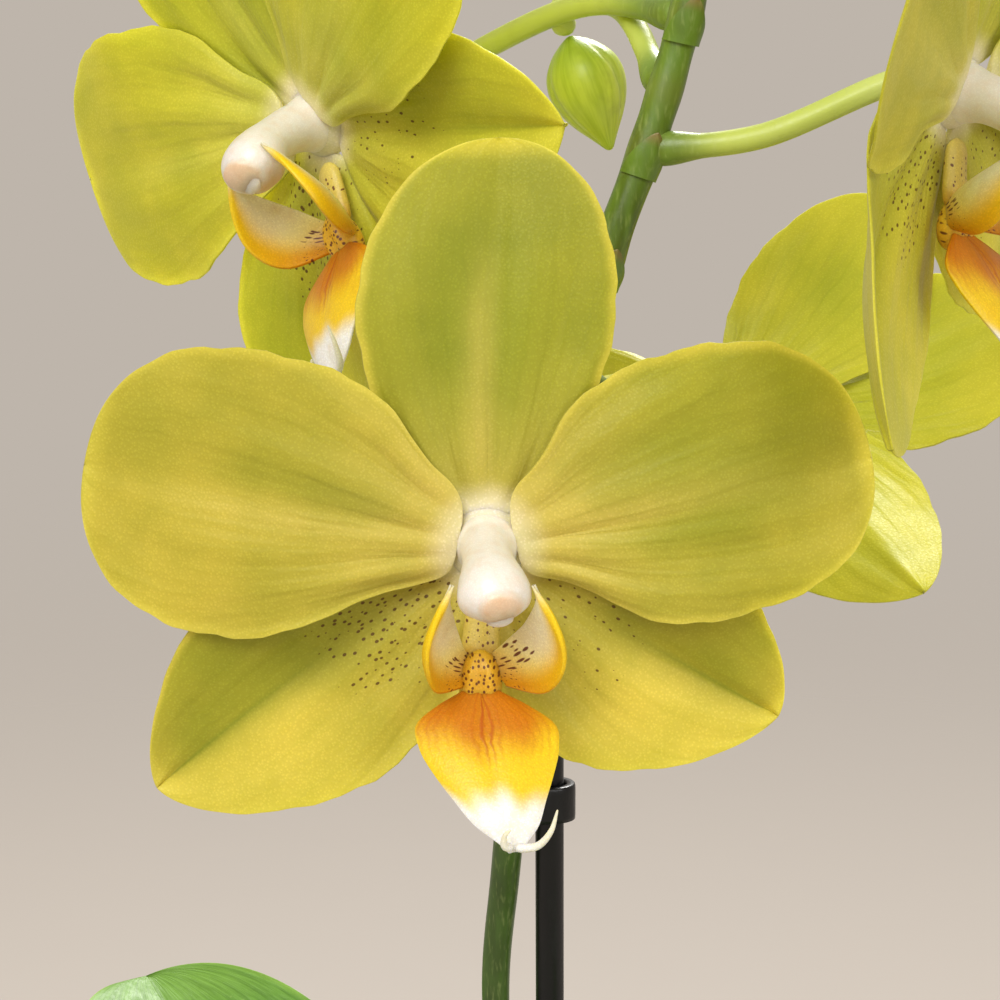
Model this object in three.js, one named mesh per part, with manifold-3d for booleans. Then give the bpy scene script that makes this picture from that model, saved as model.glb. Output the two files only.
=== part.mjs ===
// A potted moth orchid with yellow flowers, built as a three.js scene graph.
// Millimetres, +Z up. The origin is the centre of the pot's underside, and the open
// face of the lowest flower looks along -Y.
import * as THREE from "three";
import { mergeVertices } from "three/addons/utils/BufferGeometryUtils.js";
import Module from "manifold-3d";

const wasm = await Module();
wasm.setup();

const RAD = Math.PI / 180;
const Y_AXIS = new THREE.Vector3(0, 1, 0);
const Z_AXIS = new THREE.Vector3(0, 0, 1);
// Clearance left wherever two pieces meet.
const GAP = 0.3;

// Pot
const POT_HEIGHT = 112;
const POT_RIM_RADIUS = 64;
const POT_FOOT_RADIUS = 45;
const POT_WALL = 3.6;
const POT_FLOOR = 6;
const POT_SIDES = 32;
const POT_CHAMFER = 1.2;
const RIM_BAND = 12;
const RIM_PROUD = 2;

// Bark, and what stands in it
const BARK_TOP = 90;
const BARK_DOME = 4;
const CHIP_RINGS = [
  { radius: 20, count: 5 },
  { radius: 34, count: 7 },
  { radius: 48, count: 11 },
];
const CHIP_SMALLEST = [15, 9, 6];
const CHIP_LARGEST = [23, 14, 9];
const CROWN_AT = [-4, 2];
const CROWN_RADIUS = 9;
const CROWN_FOOT = 66;
const CROWN_TOP = 122;
const ROOT_RADIUS = 2.6;
const ROOT_TAPER = 0.2;

// Leaves
const LEAF_THICKNESS = 1.8;
const LEAF_START = 5.5;
const LEAF_BASE_HALF = 6;

// Flower stem, stake and clips
const STEM_STEPS = 24;
const STEM_SIDES = 6;
const PEDICEL_RADIUS = 1.45;
const BRACT_RADIUS = 2.7;
const BRACT_HEIGHT = 5;
const SCALE_HEIGHTS = [140, 188];
const STAKE_RADIUS = 2;
const CLIP_WALL = 1.3;
const CLIP_HEIGHT = 5.4;

// Flower
const TEPAL_THICKNESS = 0.9;
const LIP_THICKNESS = 0.9;
const HUB_RADIUS = 4.4;
const HUB_BACK = -3;
const HUB_FRONT = 1.8;
const SOCKET_RADIUS = 3.1;
const SOCKET_FLOOR = 0.6;
const TEPAL_START = 3.2;
const TEPAL_TIP = 0.7;
const CLAW_RADIUS = 1.9;
const CALLUS_RADIUS = 2.6;
const TENDRIL_RADIUS = 0.8;

const COLOURS = {
  petal: { color: 0xb9b832, roughness: 0.5 },
  lip: { color: 0xe39a1e, roughness: 0.45 },
  column: { color: 0xf3ece2, roughness: 0.4 },
  stem: { color: 0x5f7f35, roughness: 0.5 },
  bud: { color: 0xa9bf4a, roughness: 0.5 },
  crown: { color: 0x5c7a3c, roughness: 0.6 },
  leaf: { color: 0x3f7a35, roughness: 0.4 },
  root: { color: 0x9fa58c, roughness: 0.8 },
  bark: { color: 0x6b4630, roughness: 0.95 },
  pot: { color: 0xe9e6df, roughness: 0.35 },
  plastic: { color: 0x111111, roughness: 0.45 },
};

const plant = new THREE.Group();

// Solids: closed geometries are joined and cut as manifold-3d solids.

function solidOf(geometry) {
  const bare = new THREE.BufferGeometry();
  bare.setAttribute("position", geometry.getAttribute("position"));
  bare.setIndex(geometry.index);
  const merged = mergeVertices(bare, 1e-4);
  return new wasm.Manifold(
    new wasm.Mesh({
      numProp: 3,
      vertProperties: new Float32Array(merged.attributes.position.array),
      triVerts: new Uint32Array(merged.index.array),
    }),
  );
}

function fusedSolid(geometries) {
  return geometries.map(solidOf).reduce((sum, next) => sum.add(next));
}

function fused(geometries) {
  return geometryOf(fusedSolid(geometries));
}

// The largest of the separate bodies that a cut leaves.
function largestPiece(solid) {
  const pieces = solid.decompose();
  return pieces.reduce((best, next) => (next.volume() > best.volume() ? next : best));
}

function geometryOf(solid) {
  const mesh = solid.getMesh();
  const geometry = new THREE.BufferGeometry();
  geometry.setAttribute("position", new THREE.BufferAttribute(mesh.vertProperties, 3));
  geometry.setIndex(new THREE.BufferAttribute(mesh.triVerts, 1));
  geometry.computeVertexNormals();
  return geometry;
}

function addMesh(name, geometry, finish, parent = plant) {
  const mesh = new THREE.Mesh(geometry, new THREE.MeshStandardMaterial(COLOURS[finish]));
  mesh.name = name;
  parent.add(mesh);
  return mesh;
}

// A small seeded generator, so that every run scatters the same way.
function seededRandom(seed) {
  let state = seed;
  return () => {
    state = (state * 1664525 + 1013904223) % 4294967296;
    return state / 4294967296;
  };
}

// Sheets and tubes

// A closed sheet of even thickness along surface(s, v): s runs 0 to 1 along it and v -1 to 1 across.
// Both faces are split into the same triangles.
function bladeGeometry(surface, rows, columns, thickness) {
  const positions = [];
  const step = 1e-3;
  const sides = [1, -1];
  for (const side of sides) {
    for (let i = 0; i <= rows; i += 1) {
      const s = 0.5 - 0.5 * Math.cos((Math.PI * i) / rows);
      for (let j = 0; j <= columns; j += 1) {
        const v = -1 + (2 * j) / columns;
        const along = surface(Math.min(s + step, 1), v).sub(surface(Math.max(s - step, 0), v));
        const across = surface(s, Math.min(v + step, 1)).sub(surface(s, Math.max(v - step, -1)));
        const normal = along.cross(across).normalize();
        positions.push(...surface(s, v).addScaledVector(normal, (side * thickness) / 2));
      }
    }
  }
  const width = columns + 1;
  const back = (rows + 1) * width;
  const index = [];
  for (let i = 0; i < rows; i += 1) {
    for (let j = 0; j < columns; j += 1) {
      const a = i * width + j;
      const b = a + width;
      index.push(a, b, b + 1, a, b + 1, a + 1);
      index.push(back + a, back + b + 1, back + b, back + a, back + a + 1, back + b + 1);
    }
  }
  const rim = [];
  for (let j = 0; j < columns; j += 1) rim.push(j);
  for (let i = 0; i < rows; i += 1) rim.push(i * width + columns);
  for (let j = columns; j > 0; j -= 1) rim.push(rows * width + j);
  for (let i = rows; i > 0; i -= 1) rim.push(i * width);
  rim.forEach((a, k) => {
    const b = rim[(k + 1) % rim.length];
    index.push(a, b, back + b, a, back + b, back + a);
  });
  return closedGeometry(positions, index);
}

// A closed geometry from a list of coordinates and its triangles, turned to face outwards.
function closedGeometry(positions, index) {
  const point = (k) => new THREE.Vector3().fromArray(positions, 3 * k);
  let volume = 0;
  for (let k = 0; k < index.length; k += 3) {
    volume += point(index[k]).dot(point(index[k + 1]).cross(point(index[k + 2])));
  }
  const facing = volume < 0 ? [...index].reverse() : index;
  const geometry = new THREE.BufferGeometry();
  geometry.setAttribute("position", new THREE.Float32BufferAttribute(positions, 3));
  geometry.setIndex(facing);
  return geometry;
}

// A closed round tube along a curve. radiusAt(s) gives its radius, and flat squeezes it sideways.
function tubeGeometry(curve, radiusAt, steps, sides, flat = 1) {
  const positions = [];
  const frames = curve.computeFrenetFrames(steps, false);
  for (let i = 0; i <= steps; i += 1) {
    const s = i / steps;
    const centre = curve.getPointAt(s);
    const radius = radiusAt(s);
    for (let j = 0; j < sides; j += 1) {
      const turn = (2 * Math.PI * j) / sides;
      const point = centre.clone();
      point.addScaledVector(frames.normals[i], radius * Math.cos(turn));
      point.addScaledVector(frames.binormals[i], radius * flat * Math.sin(turn));
      positions.push(...point);
    }
  }
  const first = positions.length / 3;
  positions.push(...curve.getPointAt(0), ...curve.getPointAt(1));
  const index = [];
  const last = steps * sides;
  for (let j = 0; j < sides; j += 1) {
    const next = (j + 1) % sides;
    for (let i = 0; i < steps; i += 1) {
      const a = i * sides;
      index.push(a + j, a + next, a + sides + next, a + j, a + sides + next, a + sides + j);
    }
    index.push(first, next, j, first + 1, last + j, last + next);
  }
  return closedGeometry(positions, index);
}

function curveThrough(points) {
  return new THREE.CatmullRomCurve3(points.map((p) => new THREE.Vector3(...p)));
}

// A straight solid of a flat outline, lying in X and Y and standing on Z = 0.
function plateGeometry(shape, height) {
  return new THREE.ExtrudeGeometry(shape, { depth: height, bevelEnabled: false, curveSegments: 5 });
}

// Tepals: the three sepals behind and the two petals in front.
// angle is the direction from the flower's centre, left and right are the half widths on the
// anticlockwise and clockwise sides, peak is where it is widest, and tip and claw shape its ends.
// layer is how far in front of the centre it starts, bow bulges it forward halfway, recurve bends
// its end back, cup lifts its edges, keel sinks its midrib, and sway bends it sideways.

const SEPAL = { peak: 0.55, tip: 2.1, claw: 1.6, root: 2.2, wave: 0.4, waves: 1.6, rows: 6 };
const PETAL = { peak: 0.55, tip: 2.3, claw: 1.9, root: 2.4, wave: 0.8, waves: 1.9, rows: 6 };
const LATERAL = { peak: 0.5, tip: 1.5, claw: 1.7, root: 2.4, wave: 0.4, waves: 1.4, rows: 6 };

const TEPALS = {
  dorsal: {
    ...SEPAL, angle: 91, length: 40.2, left: 14, right: 13.6,
    layer: -0.6, bow: 1.4, recurve: 2, cup: 0.3, keel: 0.4, sway: -2, phase: 0.1,
  },
  lateralLeft: {
    ...LATERAL, angle: 214, length: 43.4, left: 14, right: 13.4,
    layer: -1.2, bow: 0.5, recurve: 3.4, cup: 0.3, keel: 1, sway: 3, phase: 0.5,
  },
  lateralRight: {
    ...LATERAL, angle: 325.5, length: 35, left: 12.6, right: 15.2,
    layer: -1.2, bow: 0.6, recurve: 3.6, cup: 0.3, keel: 1, sway: 1.6, phase: 0.2,
  },
  petalLeft: {
    ...PETAL, angle: 169, length: 41.2, left: 15.4, right: 16.4,
    layer: 1.1, bow: 2.6, recurve: 3, cup: -0.6, keel: 0.3, sway: 0, phase: 0.35,
  },
  petalRight: {
    ...PETAL, angle: 12.5, length: 39.4, left: 16.6, right: 13,
    layer: 1.1, bow: 2.8, recurve: 3.2, cup: -0.5, keel: 0.3, sway: 0, phase: 0.8,
  },
};

// Half width at s as a share of the full half width.
function outlineShare(tepal, s) {
  const past = s > tepal.peak;
  const t = past ? (s - tepal.peak) / (1 - tepal.peak) : (tepal.peak - s) / tepal.peak;
  const power = past ? tepal.tip : tepal.claw;
  return Math.pow(Math.max(0, 1 - Math.pow(t, power)), 1 / power);
}

// turn adds to the tepal's own direction, opening tilts it forward from flat, and bend brings its
// end forward.
function tepalSurface(tepal, opening, turn, bend) {
  const direction = (tepal.angle + turn) * RAD;
  return (s, v) => {
    const full = v > 0 ? tepal.left : tepal.right;
    const end = THREE.MathUtils.lerp(tepal.root, TEPAL_TIP, s);
    const half = end + (full - end) * outlineShare(tepal, s);
    const bulge = Math.sin(Math.PI * s);
    const x = TEPAL_START + tepal.length * s;
    const y = v * half + tepal.sway * s * s;
    const ripple = Math.sin(2 * Math.PI * (tepal.waves * s + tepal.phase + 0.25 * Math.sign(v)));
    const z =
      tepal.layer +
      tepal.bow * bulge -
      (tepal.recurve - bend) * s * s +
      tepal.cup * v * v * bulge -
      tepal.keel * Math.exp(-30 * v * v) * s +
      tepal.wave * ripple * Math.abs(v) ** 3 * bulge;
    return new THREE.Vector3(x * Math.cos(opening) - z * Math.sin(opening), y, 0)
      .applyAxisAngle(Z_AXIS, direction)
      .setZ(x * Math.sin(opening) + z * Math.cos(opening));
  };
}

// The hub that carries the tepals, with a socket in front for the column.
function hubGeometry() {
  const profile = [
    [0, HUB_BACK],
    [2.4, HUB_BACK],
    [HUB_RADIUS, -1],
    [HUB_RADIUS, HUB_FRONT],
    [SOCKET_RADIUS, HUB_FRONT],
    [SOCKET_RADIUS, SOCKET_FLOOR],
    [0, SOCKET_FLOOR],
  ].map(([r, z]) => new THREE.Vector2(r, z));
  return new THREE.LatheGeometry(profile, 10).rotateX(Math.PI / 2);
}

// The column: a stout stalk that droops a little and ends in a blunt hooded head.
const COLUMN_PATH = [
  [0, 0, SOCKET_FLOOR + 2 * GAP],
  [0, -0.2, 4.5],
  [0.2, -1.6, 9],
  [0.5, -4.2, 12.4],
  [0.7, -6, 13.6],
];
const COLUMN_RADII = [2.4, 2.3, 3.1, 3.6, 2.7];

// A smooth value at s between evenly spaced values.
function valueAlong(values) {
  const spline = new THREE.SplineCurve(values.map((value, i) => new THREE.Vector2(i, value)));
  return (s) => spline.getPoint(s).y;
}

function columnGeometry() {
  return tubeGeometry(curveThrough(COLUMN_PATH), valueAlong(COLUMN_RADII), 7, 8);
}

// The lip: a claw below the column, a spotted callus, two side lobes that stand forward on both
// sides of the column, and a middle lobe that hangs forward and ends in two tendrils.
const CLAW_PATH = [
  [-0.2, -HUB_RADIUS - 2 * GAP, 1],
  [-0.6, -8.5, 1.6],
  [-0.8, -12.5, 2.6],
];
const CALLUS_AT = [-0.7, -13.3, 3.6];
// across is the way from the outer edge of a side lobe to its inner one.
const SIDE_LOBES = [
  { side: -1, across: [0.35, 0.55, -0.75] },
  { side: 1, across: [-0.62, 0.45, -0.64] },
];
const MIDLOBE_PATH = [
  [-0.5, -14.6, 4.2],
  [0, -18, 8],
  [0.3, -22.4, 12],
  [1.2, -27.2, 15.2],
  [2.6, -31.4, 16.8],
];
const MIDLOBE_HALF_WIDTHS = [2, 5, 7.1, 7.5, 6.8, 5.3, 3.5, 1.2];
const TENDRIL_PATHS = [
  [[3, -30.8, 16.5], [5.2, -30.8, 17.2], [6.6, -29.2, 18], [7.2, -27.2, 18.4]],
  [[2.2, -30.8, 16.4], [1.4, -30, 17.8], [2, -29, 18.8], [2.9, -29, 18.9]],
];

function clawGeometry() {
  return tubeGeometry(curveThrough(CLAW_PATH), () => CLAW_RADIUS, 2, 5, 0.6);
}

function callusGeometry() {
  const knob = new THREE.SphereGeometry(CALLUS_RADIUS, 6, 4);
  return knob.scale(1, 1.22, 0.85).translate(...CALLUS_AT);
}

// side is -1 for the lobe on the left and 1 for the one on the right.
function sideLobeSurface({ side, across }) {
  const line = curveThrough([
    [side * 1.6 - 0.6, -13.4, 3],
    [side * 5.4 + 0.4, -12.5, 6],
    [side * 7.1 + 0.4, -9.8, 9.4],
    [side * 7.1 + 0.6, -6.6, 11.6],
    [side * 5 + 0.6, -4, 12.4],
  ]);
  const inward = new THREE.Vector3(...across).normalize();
  return (s, v) => {
    const half = 0.5 + 3.9 * Math.sin(Math.PI * (0.16 + 0.84 * s)) ** 1.2;
    const point = line.getPointAt(s).addScaledVector(inward, v * half);
    point.x -= side * 1.1 * v * v;
    return point;
  };
}

// The middle lobe runs forward and down. It is arrow shaped, widest near its shoulders.
function middleLobeSurface() {
  const line = curveThrough(MIDLOBE_PATH);
  const halfAt = valueAlong(MIDLOBE_HALF_WIDTHS);
  return (s, v) => {
    const point = line.getPointAt(s);
    point.x += v * halfAt(s);
    point.z -= 1.6 * v * v * Math.sin(Math.PI * s) + 0.5 * (1 - Math.abs(v)) * s;
    return point;
  };
}

function tendrilGeometry(path) {
  return tubeGeometry(curveThrough(path), (s) => TENDRIL_RADIUS * (1 - 0.5 * s), 3, 3);
}

function lipGeometry() {
  return fused([
    clawGeometry(),
    callusGeometry(),
    ...SIDE_LOBES.map((lobe) => bladeGeometry(sideLobeSurface(lobe), 4, 2, LIP_THICKNESS)),
    bladeGeometry(middleLobeSurface(), 5, 4, LIP_THICKNESS),
    ...TENDRIL_PATHS.map(tendrilGeometry),
  ]);
}

// at is the centre of the hub, faces the way the open flower looks and up its top. opening tilts
// the tepals forward from flat, size is measured against the lowest flower, turns are what its
// tepals' directions add to the lowest flower's, and bends how far their ends come forward. node is
// the height on the flower stem that its pedicel leaves from, lead how long the pedicel's end is
// straight, and sag the middle of the pedicel against a straight line.
const FLOWERS = [
  {
    at: [-1.5, -46, 290], faces: [0, -1, -0.02], up: [0, 0, 1], size: 1, opening: 0,
    turns: {}, bends: {}, node: 319, lead: 9, sag: [2, 2, 4],
  },
  {
    at: [31.4, 20.1, 297.6], faces: [0.08, 0.68, -0.73], up: [0.32, 0.67, 0.67], size: 0.932,
    opening: -1.2,
    turns: { dorsal: 18.8, petalLeft: -23.7, lateralLeft: 4.9, petalRight: -34, lateralRight: -2 },
    bends: { dorsal: -2, lateralLeft: -3 }, node: 304, lead: 5, sag: [-2, -2, -3],
  },
  {
    at: [51.5, -29.4, 338.5], faces: [0.741, -0.639, -0.206], up: [0.191, -0.093, 0.977], size: 1,
    opening: 3.3, turns: { petalLeft: -2.8, lateralLeft: 12.1 },
    bends: { petalLeft: 15.8, lateralLeft: 20.6 }, node: 332, lead: 4, sag: [0, 0, -2],
  },
  {
    at: [-23, -2.5, 335.4], faces: [-0.69, -0.69, -0.23], up: [-0.44, 0.2, 0.88], size: 1.06, opening: 5,
    turns: { petalLeft: -7, lateralLeft: 16, lateralRight: 4, petalRight: 4 },
    bends: {}, node: 347.5, lead: 9, sag: [4, 4, 6],
  },
  {
    at: [64, 14, 402], faces: [0.7, 0.7, 0.1], up: [0.1, 0, 1], size: 0.94, opening: 7,
    turns: {}, bends: {}, node: 366, lead: 9, sag: [0, 0, -3],
  },
  {
    at: [-12, -34, 408], faces: [-0.5, -0.86, 0.02], up: [-0.1, 0, 1], size: 0.88, opening: 8,
    turns: {}, bends: {}, node: 384, lead: 9, sag: [0, 0, 5],
  },
];

function flowerPlace({ at, faces, up, size }) {
  const forward = new THREE.Vector3(...faces).normalize();
  const right = new THREE.Vector3(...up).cross(forward).normalize();
  const top = forward.clone().cross(right);
  return new THREE.Matrix4()
    .makeBasis(right, top, forward)
    .scale(new THREE.Vector3(size, size, size))
    .setPosition(...at);
}

function tepalsGeometry(flower) {
  const blades = Object.entries(TEPALS).map(([name, tepal]) => {
    const turn = flower.turns[name] ?? 0;
    const bend = flower.bends[name] ?? 0;
    const surface = tepalSurface(tepal, flower.opening * RAD, turn, bend);
    return bladeGeometry(surface, tepal.rows, 4, TEPAL_THICKNESS);
  });
  return fused([hubGeometry(), ...blades]);
}

function buildFlowers() {
  const column = columnGeometry();
  const lip = lipGeometry();
  FLOWERS.forEach((flower, i) => {
    const group = new THREE.Group();
    group.applyMatrix4(flowerPlace(flower));
    plant.add(group);
    const name = `flower_${i + 1}`;
    addMesh(`${name}_tepals`, tepalsGeometry(flower), "petal", group);
    addMesh(`${name}_column`, column, "column", group);
    addMesh(`${name}_lip`, lip, "lip", group);
  });
}

// Buds. at is where the pedicel ends, points the way the bud looks from there, and length and
// radius are its size. node and sag are as for a flower.
const BUD_LEAD = 3;
const BUDS = [
  {
    at: [8.5, 2, 346], points: [0.35, 0.05, -0.93], length: 15, radius: 5, node: 339, sag: [0, 6, 6],
  },
  {
    at: [30, -44, 424], points: [0.75, -0.6, 0.1], length: 16, radius: 6, node: 404, sag: [2, 2, -2],
  },
  {
    at: [10, -50, 434], points: [-0.7, -0.7, 0.1], length: 13, radius: 4.8, node: 419, sag: [0, 0, 2],
  },
  {
    at: [26, -60, 440], points: [0.5, -0.8, 0.2], length: 10, radius: 3.8, node: 431, sag: [2, 0, 0],
  },
  {
    at: [12, -66, 442], points: [-0.3, -0.9, 0.3], length: 7, radius: 2.8, node: 437, sag: [0, 0, 0],
  },
];

// A closed bud: egg shaped, widest nearer its foot, with a blunt point.
function budGeometry(length, radius) {
  const profile = [
    [0, 0],
    [0.45, 0.02],
    [0.9, 0.2],
    [1, 0.42],
    [0.82, 0.68],
    [0.4, 0.9],
    [0, 1],
  ].map(([r, z]) => new THREE.Vector2(r * radius, z * length));
  return new THREE.LatheGeometry(profile, 9).rotateX(Math.PI / 2);
}

function buildBuds() {
  BUDS.forEach((bud, i) => {
    const points = new THREE.Vector3(...bud.points).normalize();
    const mesh = addMesh(`bud_${i + 1}`, budGeometry(bud.length, bud.radius), "bud");
    mesh.quaternion.setFromUnitVectors(Z_AXIS, points);
    mesh.position.set(...bud.at);
  });
}

// The flower stem
const STEM_PATH = [
  [2, 6, 97],
  [8.5, 13.5, 122],
  [4.6, 19.5, 165],
  [-0.7, 22.5, 213],
  [0.7, 21, 233],
  [3.4, 12, 262],
  [7.6, -4, 294],
  [12.4, -16, 319],
  [17, -16.4, 332],
  [21.6, -17, 348],
  [24.5, -20, 368],
  [25, -27, 390],
  [23, -37, 410],
  [20, -50, 427],
  [18, -62, 436],
];
const STEM_RADII = [2.4, 2.1, 2.05, 2, 2, 2.1, 2.1, 2.2, 2.2, 2.1, 1.9, 1.7, 1.4, 1.1, 0.8];
const stemCurve = curveThrough(STEM_PATH);

// The point of the stem's middle line at a height.
function stemAt(height) {
  let low = 0;
  let high = 1;
  while (high - low > 1e-4) {
    const middle = (low + high) / 2;
    if (stemCurve.getPointAt(middle).z < height) low = middle;
    else high = middle;
  }
  return stemCurve.getPointAt(low);
}

// A pedicel runs from its node on the stem to the back of a flower or the foot of a bud.
function pedicelGeometry(node, end, points, sag, lead) {
  const from = stemAt(node);
  const stop = end.clone().addScaledVector(points, -GAP * 1.5);
  const before = stop.clone().addScaledVector(points, -lead);
  const middle = from.clone().lerp(before, 0.45).add(new THREE.Vector3(...sag));
  const curve = new THREE.CatmullRomCurve3([from, middle, before, stop]);
  const radiusAt = (s) => PEDICEL_RADIUS * (1.25 - 0.25 * Math.min(1, 4 * s));
  return tubeGeometry(curve, radiusAt, 6, 5);
}

// The small pointed bract under each node.
function bractGeometry(node) {
  const foot = stemAt(node - 1);
  const tip = stemAt(node + 4);
  const up = tip.clone().sub(foot).normalize();
  const cone = new THREE.ConeGeometry(BRACT_RADIUS, BRACT_HEIGHT, 4);
  cone.applyQuaternion(new THREE.Quaternion().setFromUnitVectors(Y_AXIS, up));
  return cone.translate(foot.x, foot.y, foot.z);
}

function buildStem() {
  const pedicels = [
    ...FLOWERS.map((flower) => {
      const place = flowerPlace(flower);
      const forward = new THREE.Vector3(...flower.faces).normalize();
      const end = new THREE.Vector3(0, 0, HUB_BACK).applyMatrix4(place);
      return pedicelGeometry(flower.node, end, forward, flower.sag, flower.lead);
    }),
    ...BUDS.map((bud) => {
      const points = new THREE.Vector3(...bud.points).normalize();
      return pedicelGeometry(bud.node, new THREE.Vector3(...bud.at), points, bud.sag, BUD_LEAD);
    }),
  ];
  const bracts = FLOWERS.map(({ node }) => bractGeometry(node));
  const scales = SCALE_HEIGHTS.map(bractGeometry);
  const main = tubeGeometry(stemCurve, valueAlong(STEM_RADII), STEM_STEPS, STEM_SIDES);
  const crownRoom = solidOf(crownGeometry(GAP));
  const stem = fusedSolid([main, ...pedicels, ...bracts, ...scales]).subtract(crownRoom);
  addMesh("flower_stem", geometryOf(largestPiece(stem)), "stem");
}

// The stake, and the clips that hold the stem to it
const STAKE_FOOT = new THREE.Vector3(8, 35, 28);
const STAKE_HEAD = new THREE.Vector3(6.6, 18.5, 264);
const CLIP_HEIGHTS = [172, 243];

function stakeGeometry(radius) {
  const path = new THREE.LineCurve3(STAKE_FOOT, STAKE_HEAD);
  return tubeGeometry(path, () => radius, 1, 12);
}

function clipSolid(height) {
  const share = (height - STAKE_FOOT.z) / (STAKE_HEAD.z - STAKE_FOOT.z);
  const stake = STAKE_FOOT.clone().lerp(STAKE_HEAD, share);
  const stem = stemAt(height);
  const between = Math.atan2(stake.y - stem.y, stake.x - stem.x);
  const reach = stake.distanceTo(stem) / 2;
  const round = STAKE_RADIUS + GAP + CLIP_WALL;
  const outline = new THREE.Shape();
  outline.absarc(reach, 0, round, -Math.PI / 2, Math.PI / 2);
  outline.absarc(-reach, 0, round, Math.PI / 2, (3 * Math.PI) / 2);
  const plate = plateGeometry(outline, CLIP_HEIGHT).rotateZ(between);
  const middle = stake.add(stem).multiplyScalar(0.5);
  plate.translate(middle.x, middle.y, height - CLIP_HEIGHT / 2);
  return solidOf(plate);
}

function buildStake() {
  addMesh("stake", stakeGeometry(STAKE_RADIUS), "plastic");
  const radiusAt = valueAlong(STEM_RADII);
  const roomAt = (s) => radiusAt(s) + GAP;
  const stemRoom = solidOf(tubeGeometry(stemCurve, roomAt, STEM_STEPS, STEM_SIDES));
  const stakeRoom = solidOf(stakeGeometry(STAKE_RADIUS + GAP));
  CLIP_HEIGHTS.forEach((height, i) => {
    const clip = clipSolid(height).subtract(stemRoom).subtract(stakeRoom);
    addMesh(`clip_${i + 1}`, geometryOf(clip), "plastic");
  });
}

// The crown: the short stem that leaves, roots and flower stem grow from.
function crownGeometry(grow) {
  const profile = [
    [0, CROWN_FOOT - grow],
    [5 + grow, CROWN_FOOT - grow],
    [CROWN_RADIUS + grow, 84],
    [CROWN_RADIUS + grow, 98],
    [6.5 + grow, 112],
    [3 + grow, CROWN_TOP + grow],
    [0, CROWN_TOP + grow],
  ].map(([r, z]) => new THREE.Vector2(r, z));
  return new THREE.LatheGeometry(profile, 12).rotateX(Math.PI / 2).translate(...CROWN_AT, 0);
}

// Leaves stand in two opposite ranks. heading is the direction seen from above, foot the height
// that it leaves the crown at, rise and end its slope at both ends, and half its half width.
const LEAVES = [
  { heading: 123, foot: 110, length: 130, half: 27, rise: 59, end: 22 },
  { heading: -56, foot: 104, length: 152, half: 31, rise: 50, end: -42 },
  { heading: 158, foot: 101, length: 142, half: 30, rise: 40, end: -48 },
  { heading: -28, foot: 112, length: 112, half: 26, rise: 62, end: 4 },
  { heading: 138, foot: 117, length: 70, half: 16, rise: 74, end: 58 },
  { heading: -118, foot: 97, length: 124, half: 27, rise: 48, end: -54 },
];

function leafSurface({ heading, foot, length, half, rise, end }) {
  const turn = heading * RAD;
  const bend = (rise - end) * RAD;
  const shape = { peak: 0.62, tip: 2.1, claw: 1.2 };
  return (s, v) => {
    const slope = rise * RAD - bend * s;
    const out = (length / bend) * (Math.sin(rise * RAD) - Math.sin(slope));
    const up = (length / bend) * (Math.cos(slope) - Math.cos(rise * RAD));
    const base = THREE.MathUtils.lerp(LEAF_BASE_HALF, 0.8, s);
    const wide = base + (half - base) * outlineShare(shape, s);
    const fold = THREE.MathUtils.lerp(0.5, 0.28, Math.min(1, 2 * s));
    const lift = wide * fold * Math.abs(v) ** 1.4;
    const r = LEAF_START + out - lift * Math.sin(slope);
    const y = v * wide * Math.sqrt(1 - fold * fold * 0.6);
    return new THREE.Vector3(r, y, 0)
      .applyAxisAngle(Z_AXIS, turn)
      .add(new THREE.Vector3(CROWN_AT[0], CROWN_AT[1], foot + up + lift * Math.cos(slope)));
  };
}

function buildCrownAndLeaves() {
  addMesh("crown", crownGeometry(0), "crown");
  const crownRoom = solidOf(crownGeometry(GAP));
  LEAVES.forEach((leaf, i) => {
    const blade = solidOf(bladeGeometry(leafSurface(leaf), 8, 4, LEAF_THICKNESS));
    addMesh(`leaf_${i + 1}`, geometryOf(largestPiece(blade.subtract(crownRoom))), "leaf");
  });
}

// Roots: thick and silvery. Some dive into the bark and one hangs over the pot's rim.
const ROOTS = [
  [[-11, -2, 96], [-34, -9, 108], [-58, -15, 119], [-71, -18, 113], [-75, -19, 92], [-73, -18, 74]],
  [[-7, -6, 94], [-11, -20, 103], [-16, -34, 103], [-20, -42, 92], [-21, -44, 80]],
  [[4, 2, 94], [20, 7, 105], [33, 14, 108], [42, 23, 100], [45, 28, 84]],
];

function rootGeometry(path, grow) {
  const radiusAt = (s) => ROOT_RADIUS * (1 - ROOT_TAPER * s) + grow;
  return tubeGeometry(curveThrough(path), radiusAt, 10, 6);
}

function buildRoots() {
  const crownRoom = solidOf(crownGeometry(GAP));
  ROOTS.forEach((path, i) => {
    const root = largestPiece(solidOf(rootGeometry(path, 0)).subtract(crownRoom));
    addMesh(`root_${i + 1}`, geometryOf(root), "root");
  });
}

// The bark: a bed that fills the pot, with chips lying on it, and room for what stands in it.
function bedGeometry(top) {
  const floor = POT_FLOOR + GAP;
  const profile = [
    [0, floor],
    [potInside(floor) - 2 * GAP, floor],
    [potInside(BARK_TOP) - 2 * GAP, BARK_TOP],
    [potInside(BARK_TOP) - 2 * GAP, top],
    [0, top + BARK_DOME],
  ].map(([r, z]) => new THREE.Vector2(r, z));
  return new THREE.LatheGeometry(profile, POT_SIDES).rotateX(Math.PI / 2);
}

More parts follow.
